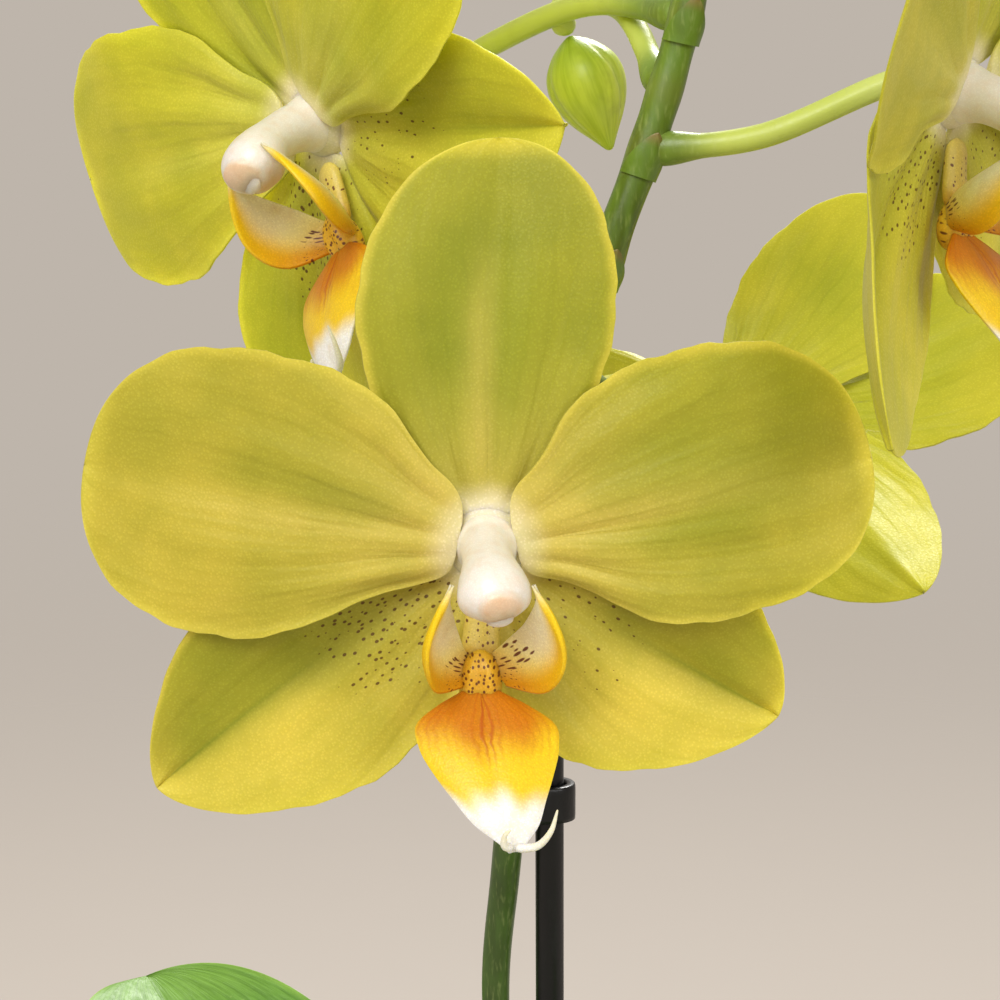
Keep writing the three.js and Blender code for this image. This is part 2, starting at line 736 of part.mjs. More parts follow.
// Chips lie in rings round the crown, each turned and tilted at random.
function chipGeometries() {
  const random = seededRandom(7);
  const chips = [];
  CHIP_RINGS.forEach(({ radius, count }) => {
    for (let i = 0; i < count; i += 1) {
      const angle = ((i + 0.6 * random()) * 2 * Math.PI) / count;
      const out = radius + 3 * (random() - 0.5);
      const size = CHIP_SMALLEST.map((low, k) => low + (CHIP_LARGEST[k] - low) * random());
      const chip = new THREE.BoxGeometry(...size);
      chip.rotateX(0.5 * (random() - 0.5)).rotateY(0.7 * (random() - 0.5));
      chip.rotateZ(2 * Math.PI * random());
      const lift = BARK_TOP + BARK_DOME * (1 - out / potInside(BARK_TOP)) + 0.8 + 1.4 * random();
      chips.push(chip.translate(out * Math.cos(angle), out * Math.sin(angle), lift));
    }
  });
  return chips;
}

function buildBark() {
  let bark = fusedSolid([bedGeometry(BARK_TOP), ...chipGeometries()]);
  bark = bark.intersect(solidOf(bedGeometry(POT_HEIGHT)));
  bark = bark.subtract(solidOf(crownGeometry(GAP)));
  bark = bark.subtract(solidOf(stakeGeometry(STAKE_RADIUS + GAP)));
  for (const path of ROOTS) bark = bark.subtract(solidOf(rootGeometry(path, GAP)));
  addMesh("bark", geometryOf(largestPiece(bark)), "bark");
}

// The pot: tapered, with a band round its rim and a flat foot.
function potOutside(z) {
  const share = z / (POT_HEIGHT - RIM_BAND);
  return THREE.MathUtils.lerp(POT_FOOT_RADIUS, POT_RIM_RADIUS - RIM_PROUD, share);
}

function potInside(z) {
  return Math.min(potOutside(z), POT_RIM_RADIUS - RIM_PROUD) - POT_WALL;
}

function buildPot() {
  const shoulder = POT_HEIGHT - RIM_BAND;
  const profile = [
    [0, 0],
    [POT_FOOT_RADIUS - POT_CHAMFER, 0],
    [POT_FOOT_RADIUS, POT_CHAMFER],
    [potOutside(shoulder), shoulder],
    [POT_RIM_RADIUS, shoulder + RIM_PROUD],
    [POT_RIM_RADIUS, POT_HEIGHT - POT_CHAMFER],
    [POT_RIM_RADIUS - POT_CHAMFER, POT_HEIGHT],
    [potInside(POT_HEIGHT) + POT_CHAMFER, POT_HEIGHT],
    [potInside(POT_HEIGHT), POT_HEIGHT - POT_CHAMFER],
    [potInside(shoulder), shoulder],
    [potInside(POT_FLOOR), POT_FLOOR],
    [0, POT_FLOOR],
  ].map(([r, z]) => new THREE.Vector2(r, z));
  addMesh("pot", new THREE.LatheGeometry(profile, POT_SIDES).rotateX(Math.PI / 2), "pot");
}

buildPot();
buildBark();
buildCrownAndLeaves();
buildRoots();
buildStem();
buildStake();
buildFlowers();
buildBuds();

export default plant;
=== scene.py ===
"""A potted moth orchid with yellow flowers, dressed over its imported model.

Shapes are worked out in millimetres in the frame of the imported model, +Z up, and become
metres when a mesh is made.
"""
import math

import bpy
import numpy as np
from mathutils import Euler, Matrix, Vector, noise


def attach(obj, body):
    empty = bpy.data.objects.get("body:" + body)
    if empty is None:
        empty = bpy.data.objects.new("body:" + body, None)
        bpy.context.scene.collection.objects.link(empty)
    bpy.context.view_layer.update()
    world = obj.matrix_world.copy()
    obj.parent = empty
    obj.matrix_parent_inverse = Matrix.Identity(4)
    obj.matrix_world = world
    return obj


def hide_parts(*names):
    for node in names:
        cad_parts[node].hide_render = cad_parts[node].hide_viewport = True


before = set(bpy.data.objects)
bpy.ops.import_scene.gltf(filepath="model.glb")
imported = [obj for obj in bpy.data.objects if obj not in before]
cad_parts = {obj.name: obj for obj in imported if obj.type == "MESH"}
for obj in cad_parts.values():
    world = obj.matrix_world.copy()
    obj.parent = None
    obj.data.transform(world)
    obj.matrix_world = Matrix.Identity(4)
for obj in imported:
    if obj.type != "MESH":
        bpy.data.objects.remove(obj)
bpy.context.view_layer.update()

MM = 0.001

# Shares of a length: how far a direction is read to each side, and how near the ends of a sheet.
STEP = 0.002
SHEET_END = 0.012

# Round ends of tubes: the angles of their rings, and the share of the radius at the very end.
END_RINGS = [0, 22, 45, 67]
BLUNT = 0.02

# Camera: where it stands in millimetres, how far it looks down, and its angle of view.
CAMERA_AT = (-0.1, -302.4, 333.2)
CAMERA_DOWN = 8.5
CAMERA_VIEW = 23.47

# Pot, bark and crown, as in the solids.
POT_HEIGHT = 112
POT_RIM_RADIUS = 64
POT_FOOT_RADIUS = 45
POT_WALL = 3.6
POT_FLOOR = 6
RIM_BAND = 12
RIM_PROUD = 2
BARK_TOP = 90
BARK_DOME = 4
CHIP_RINGS = [(20, 5), (34, 7), (48, 11)]
CROWN_AT = np.array([-4, 2, 0])

# Stem, stake and clips
PEDICEL_RADIUS = 1.45
STAKE_RADIUS = 2
STAKE_FOOT = np.array([8, 35, 28])
STAKE_HEAD = np.array([6.6, 18.5, 264])
CLIP_HEIGHTS = [172, 243]
CLIP_WALL = 1.3
CLIP_HEIGHT = 5.4
CLIP_SIDES = 72
GAP = 0.3

# Flower
TEPAL_START = 3.2
TEPAL_GRID = (64, 42)
HUB_RADIUS = 4.4
HUB_BACK = -3


# Curves and values

def unit(vectors):
    vectors = np.asarray(vectors, float)
    return vectors / np.linalg.norm(vectors, axis=-1, keepdims=True)


def lerp(a, b, share):
    return a + (b - a) * share


def smooth(low, high, value):
    """0 below low, 1 above high and an even rise between them."""
    share = np.clip((np.asarray(value, float) - low) / (high - low), 0, 1)
    return share * share * (3 - 2 * share)


def bell(value, width):
    """1 where the value is 0, and an even fall to 0 on both sides of it."""
    return np.exp(-(value / width)**2)


def dome(past):
    """The share of its radius that a round end has, past 0 to 1 of the way over it."""
    return np.sqrt(np.maximum(1 - np.clip(past, 0, 1)**2, BLUNT**2))


def circle(count):
    """That many angles round a circle, in radians."""
    return 2 * np.pi * np.arange(count) / count


def turned(x, y, z, angle):
    """Points turned about +Z by an angle in radians."""
    c, s = math.cos(angle), math.sin(angle)
    return np.stack([x * c - y * s, x * s + y * c, z], -1)


def cubic(start, end, rise, fall, t):
    """A curve from start to end, t 0 to 1, with its slopes at both ends."""
    bent = (2 * start - 2 * end + rise + fall) * t**3
    return bent + (3 * end - 3 * start - 2 * rise - fall) * t**2 + rise * t + start


def value_along(values):
    """A smooth value at s, 0 to 1, between evenly spaced values."""
    padded = np.array([values[0], *values, values[-1]], float)
    slopes = (padded[2:] - padded[:-2]) / 2
    last = len(values) - 1

    def at(s):
        place = np.clip(s, 0, 1) * last
        k = np.minimum(place.astype(int), last - 1)
        return cubic(padded[k + 1], padded[k + 2], slopes[k], slopes[k + 1], place - k)

    return at


class Line:
    """A centripetal Catmull-Rom curve through points, read by its share of arc length."""

    SAMPLES = 80

    def __init__(self, points):
        points = np.asarray(points, float)
        first = 2 * points[0] - points[1]
        last = 2 * points[-1] - points[-2]
        padded = np.vstack([first, points, last])
        pieces = [self.piece(*padded[i:i + 4]) for i in range(len(points) - 1)]
        self.points = np.vstack(pieces + [points[-1:]])
        steps = np.linalg.norm(np.diff(self.points, axis=0), axis=1)
        self.lengths = np.concatenate([[0], np.cumsum(steps)])
        self.length = self.lengths[-1]

    def piece(self, before, start, end, after):
        gaps = (start - before, end - start, after - end)
        g0, g1, g2 = (np.linalg.norm(gap)**0.5 for gap in gaps)
        rise = g1 * ((start - before) / g0 - (end - before) / (g0 + g1) + (end - start) / g1)
        fall = g1 * ((end - start) / g1 - (after - start) / (g1 + g2) + (after - end) / g2)
        t = np.linspace(0, 1, self.SAMPLES, endpoint=False)[:, None]
        return cubic(start, end, rise, fall, t)

    def at(self, s):
        where = np.clip(np.asarray(s, float), 0, 1) * self.length
        return np.stack([np.interp(where, self.lengths, self.points[:, k]) for k in range(3)], -1)

    def along(self, s):
        """The direction at s."""
        return unit(self.at(np.minimum(s + STEP, 1)) - self.at(np.maximum(s - STEP, 0)))

    def share_at_height(self, height):
        """The share of the length at which a line that only climbs reaches a height."""
        return np.interp(height, self.points[:, 2], self.lengths) / self.length


# Shapes

class Shape:
    """Points in millimetres, their faces, and named marks, one value or colour a point."""

    def __init__(self, points, faces):
        self.points = np.asarray(points, float).reshape(-1, 3)
        self.faces = faces
        self.marks = {}

    def mark(self, name, values):
        """Sets a mark of every point, which may be one value or colour for all of them."""
        values = np.asarray(values, float)
        count = len(self.points)
        if values.ndim == 0 or values.shape[0] != count:
            values = np.broadcast_to(values, (count, *values.shape))
        self.marks[name] = values
        return self

    def moved(self, place):
        """The shape after a 4 by 4 matrix."""
        moved = Shape(self.points @ place[:3, :3].T + place[:3, 3], self.faces)
        moved.marks = self.marks
        return moved


def joined(shapes):
    """One shape of several. A mark that one of them lacks is 0 there."""
    names = sorted({name for shape in shapes for name in shape.marks})
    faces = []
    start = 0
    for shape in shapes:
        faces += [tuple(start + k for k in face) for face in shape.faces]
        start += len(shape.points)
    whole = Shape(np.vstack([shape.points for shape in shapes]), faces)
    for name in names:
        kind = next(shape.marks[name].shape[1:] for shape in shapes if name in shape.marks)
        rows = [shape.marks.get(name, np.zeros((len(shape.points), *kind))) for shape in shapes]
        whole.marks[name] = np.concatenate(rows)
    return whole


def grid_faces(rows, columns, start=0, flip=False, closed=False):
    """Faces of a grid of rows by columns points. closed joins its last column to its first."""
    faces = []
    last = columns if closed else columns - 1
    for i in range(rows - 1):
        for j in range(last):
            a = start + i * columns + j
            b = start + i * columns + (j + 1) % columns
            face = (a, a + columns, b + columns, b)
            faces.append(face[::-1] if flip else face)
    return faces


def sheet(surface, rows, columns, thickness, marks=None):
    """A closed sheet along surface(s, v), with s 0 to 1 along it and v -1 to 1 across it.

    thickness(s, v) is how thick it is, and marks(s, v, side) gives the marks of its two sides.
    """
    s_line = 0.5 - 0.5 * np.cos(np.pi * np.arange(rows + 1) / rows)
    v_line = np.sin(np.pi * (np.arange(columns + 1) / columns - 0.5))
    s, v = (values.ravel() for values in np.meshgrid(s_line, v_line, indexing="ij"))
    near = np.clip(s, SHEET_END, 1 - SHEET_END)
    along = surface(near + STEP, v) - surface(near - STEP, v)
    across = surface(near, np.minimum(v + STEP, 1)) - surface(near, np.maximum(v - STEP, -1))
    normal = unit(np.cross(along, across))
    middle = surface(s, v)
    half = (thickness(s, v) / 2)[:, None]
    width = columns + 1
    count = (rows + 1) * width
    faces = grid_faces(rows + 1, width) + grid_faces(rows + 1, width, count, flip=True)
    rim = list(range(columns)) + [i * width + columns for i in range(rows)]
    rim += [rows * width + j for j in range(columns, 0, -1)] + [i * width for i in range(rows, 0, -1)]
    for k, a in enumerate(rim):
        b = rim[(k + 1) % len(rim)]
        faces.append((a, b, count + b, count + a))
    shape = Shape(np.vstack([middle + normal * half, middle - normal * half]), faces)
    if marks:
        front, back = marks(s, v, 1), marks(s, v, -1)
        for name in front:
            shape.mark(name, np.concatenate([front[name], back[name]]))
    return shape


def tube(line, radius_at, steps, sides, across=(0, 0, 1), flat=1, round_ends=True, profile=None):
    """A round tube along a line. across sets where its first side is, and flat squeezes the others.

    profile(s, turn) scales the radius at an angle round it. Its marks are s, and turn from 0 to 1.
    """
    shares = np.linspace(0, 1, steps + 1)
    if round_ends:
        ends = radius_at(np.array([0.0, 1.0])) / line.length
        bend = 1 - np.cos(np.radians(END_RINGS))
        inner = shares[(shares > ends[0]) & (shares < 1 - ends[1])]
        shares = np.concatenate([bend * ends[0], inner, (1 - bend * ends[1])[::-1]])
    centre = line.at(shares)
    tangent = line.along(shares)
    radius = radius_at(shares)
    if round_ends:
        radius = radius * dome(1 - shares / ends[0]) * dome(1 - (1 - shares) / ends[1])
    side = np.asarray(across, float)
    sideways, other = [], []
    for direction in tangent:
        side = unit(side - direction * side.dot(direction))
        sideways.append(side)
        other.append(np.cross(direction, side))
    turn = np.arange(sides) / sides
    angle = 2 * np.pi * turn
    scale = profile(shares[:, None], turn[None]) if profile else np.ones((1, 1))
    reach = radius[:, None] * scale
    points = centre[:, None] + (reach * np.cos(angle))[..., None] * np.array(sideways)[:, None]
    points = points + (reach * flat * np.sin(angle))[..., None] * np.array(other)[:, None]
    count = len(shares)
    faces = grid_faces(count, sides, flip=True, closed=True)
    faces.append(tuple(range(sides))[::-1])
    faces.append(tuple((count - 1) * sides + j for j in range(sides)))
    shape = Shape(points, faces)
    shape.mark("s", np.repeat(shares, sides))
    shape.mark("turn", np.tile(turn, count))
    return shape


def lathe(profile, sides, wobble=None):
    """A closed shape round +Z from (radius, height) pairs that begin and end on the axis.

    wobble(height, angle) scales the radius at an angle round it.
    """
    profile = np.asarray(profile, float)
    angle = circle(sides)
    radius, height = profile[1:-1].T[..., None]
    if wobble:
        radius = radius * wobble(height, angle)
    round_it = np.broadcast_arrays(radius * np.cos(angle), radius * np.sin(angle), height)
    ends = [[0, 0, profile[0, 1]], [0, 0, profile[-1, 1]]]
    points = np.vstack([np.stack(round_it, -1).reshape(-1, 3), ends])
    faces = grid_faces(len(height), sides, flip=True, closed=True)
    first, last = len(height) * sides, (len(height) - 1) * sides
    for j in range(sides):
        after = (j + 1) % sides
        faces += [(first, after, j), (first + 1, last + j, last + after)]
    return Shape(points, faces)


def rounded(points, radius, steps=4):
    """A polyline in a plane with its inner corners rounded by arcs that start radius away."""
    points = [np.asarray(p, float) for p in points]
    smoothed = [points[0]]
    for before, corner, after in zip(points, points[1:], points[2:]):
        back, ahead = before - corner, after - corner
        reach = min(radius, np.linalg.norm(back) / 2.01, np.linalg.norm(ahead) / 2.01)
        start, end = corner + unit(back) * reach, corner + unit(ahead) * reach
        for k in range(steps + 1):
            t = k / steps
            smoothed.append((1 - t)**2 * start + 2 * t * (1 - t) * corner + t**2 * end)
    smoothed.append(points[-1])
    return smoothed


def divided(points, steps_of):
    """The same polyline with each part in as many steps as steps_of gives for its length."""
    finer = [points[0]]
    for a, b in zip(points, points[1:]):
        steps = steps_of(np.linalg.norm(b - a))
        finer += [lerp(a, b, k / steps) for k in range(1, steps + 1)]
    return finer


def add_object(name, data):
    """Links a new object of that data to the scene."""
    added = bpy.data.objects.new(name, data)
    bpy.context.scene.collection.objects.link(added)
    return added


# What a mark is in the mesh, by how many numbers a point it has.
MARK_KINDS = {1: ("FLOAT", "value"), 3: ("FLOAT_VECTOR", "vector"), 4: ("FLOAT_COLOR", "color")}


def add_piece(node, shape, slot):
    """Makes the fine piece that stands for a CAD node."""
    name = f"{node}.fine"
    mesh = bpy.data.meshes.new(name)
    mesh.from_pydata((shape.points * MM).tolist(), [], shape.faces)
    for mark, values in shape.marks.items():
        kind, field = MARK_KINDS[values.size // len(values)]
        layer = mesh.attributes.new(mark, kind, "POINT")
        layer.data.foreach_set(field, values.astype(np.float32).ravel())
    mesh.shade_smooth()
    mesh.materials.append(PAINTS[slot])
    piece = add_object(name, mesh)
    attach(piece, "root")
    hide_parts(node)


# Colours: linear red, green and blue.

def srgb(red, green, blue):
    """A linear colour from one read on a screen, 0 to 255."""
    value = np.array([red, green, blue]) / 255
    return np.where(value <= 0.04045, value / 12.92, ((value + 0.055) / 1.055)**2.4)


def blend(*steps):
    """Colours laid over each other: a colour, then pairs of a colour and its share a point."""
    tone = steps[0][None] * np.ones((len(steps[2]), 1))
    for colour, share in zip(steps[1::2], steps[2::2]):
        tone = tone + (colour - tone) * np.clip(share, 0, 1)[:, None]
    return np.hstack([tone, np.ones((len(tone), 1))])


class Paint:
    """One node material. A value may be a number, a colour or the output of another node.

    where is a place on the object in metres, tone and place are the marks of those names, and
    colour is the tone with what has been laid over it.
    """

    def __init__(self, name, roughness, **shader):
        self.material = bpy.data.materials.new(name)
        self.material.use_nodes = True
        self.tree = self.material.node_tree
        self.shader = self.tree.nodes["Principled BSDF"]
        self.shader.inputs["Roughness"].default_value = roughness
        for socket, value in shader.items():
            self.shader.inputs[socket.replace("_", " ")].default_value = value
        self.where = self.node("ShaderNodeTexCoord").outputs["Object"]
        self.tone = self.mark("tone", "Color")
        self.colour = self.tone
        self.place = self.mark("place", "Vector")

    def node(self, kind, inputs=None, **settings):
        node = self.tree.nodes.new(kind)
        for key, value in settings.items():
            setattr(node, key, value)
        for key, value in (inputs or {}).items():
            self.join(value, node.inputs[key])
        return node

    def join(self, value, socket):
        if isinstance(value, bpy.types.NodeSocket):
            self.tree.links.new(value, socket)
        elif socket.type == "RGBA":
            socket.default_value = (*value[:3], 1)
        else:
            socket.default_value = value

    def math(self, operation, *values, clamp=False):
        settings = dict(operation=operation, use_clamp=clamp)
        return self.node("ShaderNodeMath", dict(enumerate(values)), **settings).outputs[0]

    def times(self, *values, clamp=False):
        return self.math("MULTIPLY", *values, clamp=clamp)

    def mix(self, share, a, b, kind="MIX"):
        settings = dict(data_type="RGBA", blend_type=kind)
        return self.node("ShaderNodeMix", {0: share, 6: a, 7: b}, **settings).outputs[2]

    def tint(self, tint, share=1.0):
        """Multiplies the colour by a tint as far as the share says."""
        self.colour = self.mix(share, self.colour, tint, "MULTIPLY")

    def lay(self, colour, share):
        """Lays another colour over the colour as far as the share says."""
        self.colour = self.mix(share, self.colour, colour)

    def mark(self, name, output="Fac"):
        return self.node("ShaderNodeAttribute", attribute_name=name).outputs[output]

    def noise(self, size, detail=2.0, where=None, roughness=0.5, distortion=0.0, unit_size=MM):
        """Cloudy noise, 0 to 1, with clouds of about that size."""
        inputs = {
            "Vector": where or self.where, "Scale": 1 / (size * unit_size), "Detail": detail,
            "Roughness": roughness, "Distortion": distortion,
        }
        return self.node("ShaderNodeTexNoise", inputs).outputs["Fac"]

    def cells(self, size, where=None, unit_size=MM, output="Distance", feature="F1"):
        """The distance from the middle of the nearest cell, or what output and feature name."""
        inputs = {"Vector": where or self.where, "Scale": 1 / (size * unit_size)}
        return self.node("ShaderNodeTexVoronoi", inputs, feature=feature).outputs[output]

    def dots(self, place, spacing, stretch, share, radius):
        """Scattered dots, 1 inside and 0 outside. share is how many of the places have one."""
        where = self.stretched(place, stretch)
        inputs = {"Vector": where, "Scale": 1 / spacing, "Randomness": 0.95}
        cell = self.node("ShaderNodeTexVoronoi", inputs, voronoi_dimensions="2D")
        chance = self.node("ShaderNodeSeparateColor", {0: cell.outputs["Color"]}).outputs["Red"]
        there = self.times(self.math("SUBTRACT", share, chance), 2.0, clamp=True)
        size = self.times(there, radius)
        edge = self.math("SUBTRACT", size, cell.outputs["Distance"])
        return self.rise(edge, -0.25 * radius, 0.25 * radius)

    def rise(self, value, low, high, to_low=0.0, to_high=1.0):
        """A smooth step of a value from low to high."""
        inputs = {
            "Value": value, "From Min": low, "From Max": high, "To Min": to_low,
            "To Max": to_high,
        }
        return self.node("ShaderNodeMapRange", inputs, interpolation_type="SMOOTHSTEP").outputs[0]

    def stretched(self, vector, scale):
        inputs = {0: vector, 1: scale}
        return self.node("ShaderNodeVectorMath", inputs, operation="MULTIPLY").outputs[0]

    def bumps(self, *layers):
        """Bumps of a height in millimetres laid over each other: pairs of a value and its height."""
        normal = None
        for value, height in layers:
            inputs = {"Height": value, "Distance": height * MM, "Strength": 1.0}
            if normal:
                inputs["Normal"] = normal
            normal = self.node("ShaderNodeBump", inputs).outputs["Normal"]
        self.join(normal, self.shader.inputs["Normal"])

    def finish(self, roughness=None):
        self.join(self.colour, self.shader.inputs["Base Color"])
        if roughness is not None:
            self.join(roughness, self.shader.inputs["Roughness"])
        return self.material


# Flower materials. The mark tone is the smooth colour of a place, with painted light and shade on
# the tepals and the column; veins holds where it is between the veins and how strongly they show;
# spots is how many dark spots lie there.

MAROON = srgb(92, 30, 26)
SPOT_BROWN = srgb(84, 46, 20)


def petal_paint():
    paint = Paint("petal", 0.42, Subsurface_Weight=0.35, Subsurface_Scale=0.0022,
                  Subsurface_Radius=(1.0, 0.9, 0.25), Sheen_Weight=0.08, Sheen_Roughness=0.4,
                  Sheen_Tint=(1, 0.98, 0.7, 1), Specular_IOR_Level=0.22)
    veins = paint.mark("veins", "Vector")
    parts = paint.node("ShaderNodeSeparateXYZ", {0: veins})
    ridge = paint.noise(1, 2, where=paint.stretched(veins, (0.62, 1.5, 0)), unit_size=1)
    ridge = paint.times(ridge, parts.outputs["Z"])
    fan = paint.math("MULTIPLY_ADD", paint.noise(5, 2), 0.7, parts.outputs["X"])
    net = paint.times(paint.rise(paint.math("PINGPONG", fan, 0.5), 0.3, 0.5), parts.outputs["Z"])
    cells = paint.cells(0.34)
    paint.tint(srgb(232, 238, 206), paint.times(net, 0.2, clamp=True))
    cloud = paint.rise(paint.noise(11, 3), 0.3, 0.7)
    paint.tint(paint.mix(cloud, srgb(230, 232, 206), srgb(255, 250, 242)))
    # The cell texture, with the cell centres left lighter than their edges as a painted sparkle.
    paint.tint(srgb(238, 238, 222), paint.rise(cells, 0.05, 0.55, 0, 0.9))
    dot = paint.dots(paint.place, 0.95, (0.75, 1.15, 1.0), paint.mark("spots"), 0.19)
    paint.lay(SPOT_BROWN, paint.times(dot, 0.85))
    paint.bumps((ridge, 0.85), (net, 0.02), (cells, -0.025))
    return paint.finish(paint.rise(cells, 0.0, 0.6, 0.36, 0.52))


def lip_paint():
    paint = Paint("lip", 0.4, Subsurface_Weight=0.35, Subsurface_Scale=0.0014,
                  Subsurface_Radius=(1.0, 0.85, 0.4), Specular_IOR_Level=0.4)
    place = paint.place
    paint.tint(srgb(238, 222, 188), paint.rise(paint.noise(2.2, 3), 0.45, 0.8, 0, 0.4))
    cells = paint.cells(0.28)
    paint.tint(srgb(232, 230, 224), paint.rise(cells, 0.05, 0.6, 0, 0.7))
    wander = paint.noise(3.0, 3, where=place, unit_size=1)
    streaks = paint.node("ShaderNodeSeparateXYZ", {0: place})
    across = paint.math("MULTIPLY_ADD", wander, 1.6, streaks.outputs["Y"])
    line = paint.rise(paint.math("PINGPONG", paint.times(across, 1.1), 0.5), 0.15, 0.5)
    line = paint.times(line, paint.mark("streaks"))
    paint.lay(srgb(178, 84, 14), line)
    dot = paint.dots(place, 0.56, (1.0, 0.8, 1.0), paint.mark("spots"), 0.25)
    paint.lay(MAROON, paint.times(dot, 0.9))
    dash = paint.dots(place, 0.66, (0.3, 1.2, 1.0), paint.mark("dashes"), 0.31)
    paint.lay(MAROON, paint.times(dash, 0.95))
    paint.bumps((line, 0.05), (paint.noise(0.6, 2), 0.05), (cells, -0.02))
    return paint.finish()


def column_paint():
    paint = Paint("column", 0.3, Subsurface_Weight=0.4, Subsurface_Scale=0.0018,
                  Subsurface_Radius=(1.0, 0.75, 0.6), Specular_IOR_Level=0.5)
    paint.tint(srgb(252, 245, 238), paint.rise(paint.noise(1.6, 3), 0.4, 0.75))
    cells = paint.cells(0.22)
    paint.tint(srgb(238, 236, 234), paint.rise(cells, 0.0, 0.6, 0, 0.6))
    paint.bumps((paint.noise(0.8, 2), 0.04), (cells, -0.015))
    return paint.finish()


# Plant materials

def bud_paint():
    paint = Paint("bud", 0.38, Subsurface_Weight=0.3, Subsurface_Scale=0.002,
                  Subsurface_Radius=(0.9, 1.0, 0.3), Specular_IOR_Level=0.45)
    long = paint.stretched(paint.place, (1, 1, 0.12))
    fibre = paint.noise(0.8, 3, where=long, unit_size=1)
    paint.tint(srgb(226, 232, 196), paint.rise(fibre, 0.35, 0.7))
    paint.lay(srgb(136, 146, 60), paint.rise(paint.noise(3, 3), 0.5, 0.8, 0, 0.35))
    paint.bumps((fibre, 0.06), (paint.noise(0.35, 1), 0.02))
    return paint.finish()


def stem_paint():
    paint = Paint("stem", 0.38, Specular_IOR_Level=0.5)
    long = paint.stretched(paint.where, (1, 1, 0.22))
    mottle = paint.noise(1.9, 3, where=long)
    share = paint.times(paint.rise(mottle, 0.38, 0.7, 0, 0.6), paint.mark("mottle"))
    paint.tint(srgb(188, 176, 150), share)
    fleck = paint.noise(0.5, 2, where=long)
    light = paint.mix(0.5, paint.tone, srgb(196, 206, 132))
    paint.lay(light, paint.rise(fleck, 0.5, 0.8, 0, 0.4))
    paint.bumps((mottle, 0.05), (paint.noise(0.3, 2), 0.02))
    return paint.finish(paint.rise(fleck, 0.3, 0.7, 0.32, 0.46))


def leaf_paint():
    paint = Paint("leaf", 0.5, Specular_IOR_Level=0.28)
    place = paint.stretched(paint.place, (0.12, 1.0, 1.0))
    fibre = paint.noise(1.1, 4, where=place, unit_size=1, roughness=0.6)
    paint.tint(srgb(208, 216, 190), paint.rise(fibre, 0.35, 0.68))
    light = paint.mix(0.35, paint.colour, srgb(122, 160, 62))
    paint.lay(light, paint.rise(paint.noise(14, 4), 0.45, 0.75, 0, 0.5))
    paint.lay(srgb(146, 170, 92), paint.rise(paint.cells(2.6), 0.13, 0.05, 0, 0.3))
    paint.bumps((fibre, 0.08), (paint.noise(0.4, 2), 0.012), (paint.noise(9, 3), 0.5))
    return paint.finish(paint.rise(paint.noise(1.4, 3), 0.35, 0.75, 0.42, 0.54))


def root_paint():
    paint = Paint("root", 0.75, Sheen_Weight=0.3, Sheen_Roughness=0.5, Specular_IOR_Level=0.3)
    patch = paint.noise(3.2, 4, roughness=0.65)
    paint.tint(srgb(186, 168, 132), paint.rise(patch, 0.48, 0.7, 0, 0.8))
    wrinkle = paint.noise(0.7, 4, roughness=0.7)
    paint.tint(srgb(216, 216, 206), paint.rise(wrinkle, 0.7, 0.4))
    paint.bumps((patch, 0.25), (wrinkle, 0.15))
    return paint.finish(paint.rise(wrinkle, 0.3, 0.7, 0.65, 0.9))


def bark_paint():
    paint = Paint("bark", 0.9, Specular_IOR_Level=0.2)
    place = paint.stretched(paint.place, (0.22, 1.0, 1.6))
    fibre = paint.noise(1.3, 6, where=place, unit_size=1, roughness=0.7, distortion=0.6)
    paint.tint(srgb(120, 104, 92), paint.rise(fibre, 0.68, 0.3))
    crack = paint.cells(2.2, where=place, unit_size=1, feature="DISTANCE_TO_EDGE")
    paint.lay(srgb(42, 28, 22), paint.rise(crack, 0.09, 0.0, 0, 0.75))
    paint.lay(srgb(186, 150, 110), paint.rise(paint.noise(2.4, 4), 0.6, 0.78, 0, 0.5))
    paint.bumps((fibre, 0.7), (crack, 0.5), (paint.noise(0.5, 3), 0.2))
    return paint.finish(paint.rise(fibre, 0.3, 0.7, 0.78, 0.98))


def pot_paint():
    paint = Paint("pot", 0.3, Specular_IOR_Level=0.5, Coat_Weight=0.5, Coat_Roughness=0.08)
    paint.tint(srgb(246, 240, 228), paint.rise(paint.noise(26, 4), 0.35, 0.7, 0, 0.5))
    chance = paint.node("ShaderNodeSeparateColor", {0: paint.cells(4.2, output="Color")}).outputs["Red"]
    size = paint.times(paint.math("SUBTRACT", chance, 0.62), 0.22)
    fleck = paint.rise(paint.math("SUBTRACT", size, paint.cells(4.2)), -0.02, 0.02, 0, 0.6)
    paint.lay(srgb(150, 132, 112), fleck)
    rings = paint.stretched(paint.where, (0.05, 0.05, 1))
    paint.bumps((paint.noise(4, 1, where=rings), 0.03), (paint.noise(6, 1), 0.02))
    return paint.finish(paint.rise(paint.noise(7, 3), 0.3, 0.7, 0.24, 0.36))


def plastic_paint():
    paint = Paint("plastic", 0.45, Specular_IOR_Level=0.35)
    scuff = paint.noise(2.5, 5, where=paint.stretched(paint.where, (1, 1, 0.2)), roughness=0.7)
    paint.colour = paint.mix(paint.rise(scuff, 0.5, 0.75), srgb(9, 9, 10), srgb(24, 24, 26))
    paint.bumps((paint.noise(0.5, 3), 0.03), (scuff, 0.04))
    return paint.finish(paint.rise(scuff, 0.4, 0.75, 0.33, 0.55))


PAINTS = {
    "petal": petal_paint(), "lip": lip_paint(), "column": column_paint(), "bud": bud_paint(),
    "stem": stem_paint(), "leaf": leaf_paint(), "root": root_paint(), "bark": bark_paint(),
    "pot": pot_paint(), "plastic": plastic_paint(),
}


# Flowers

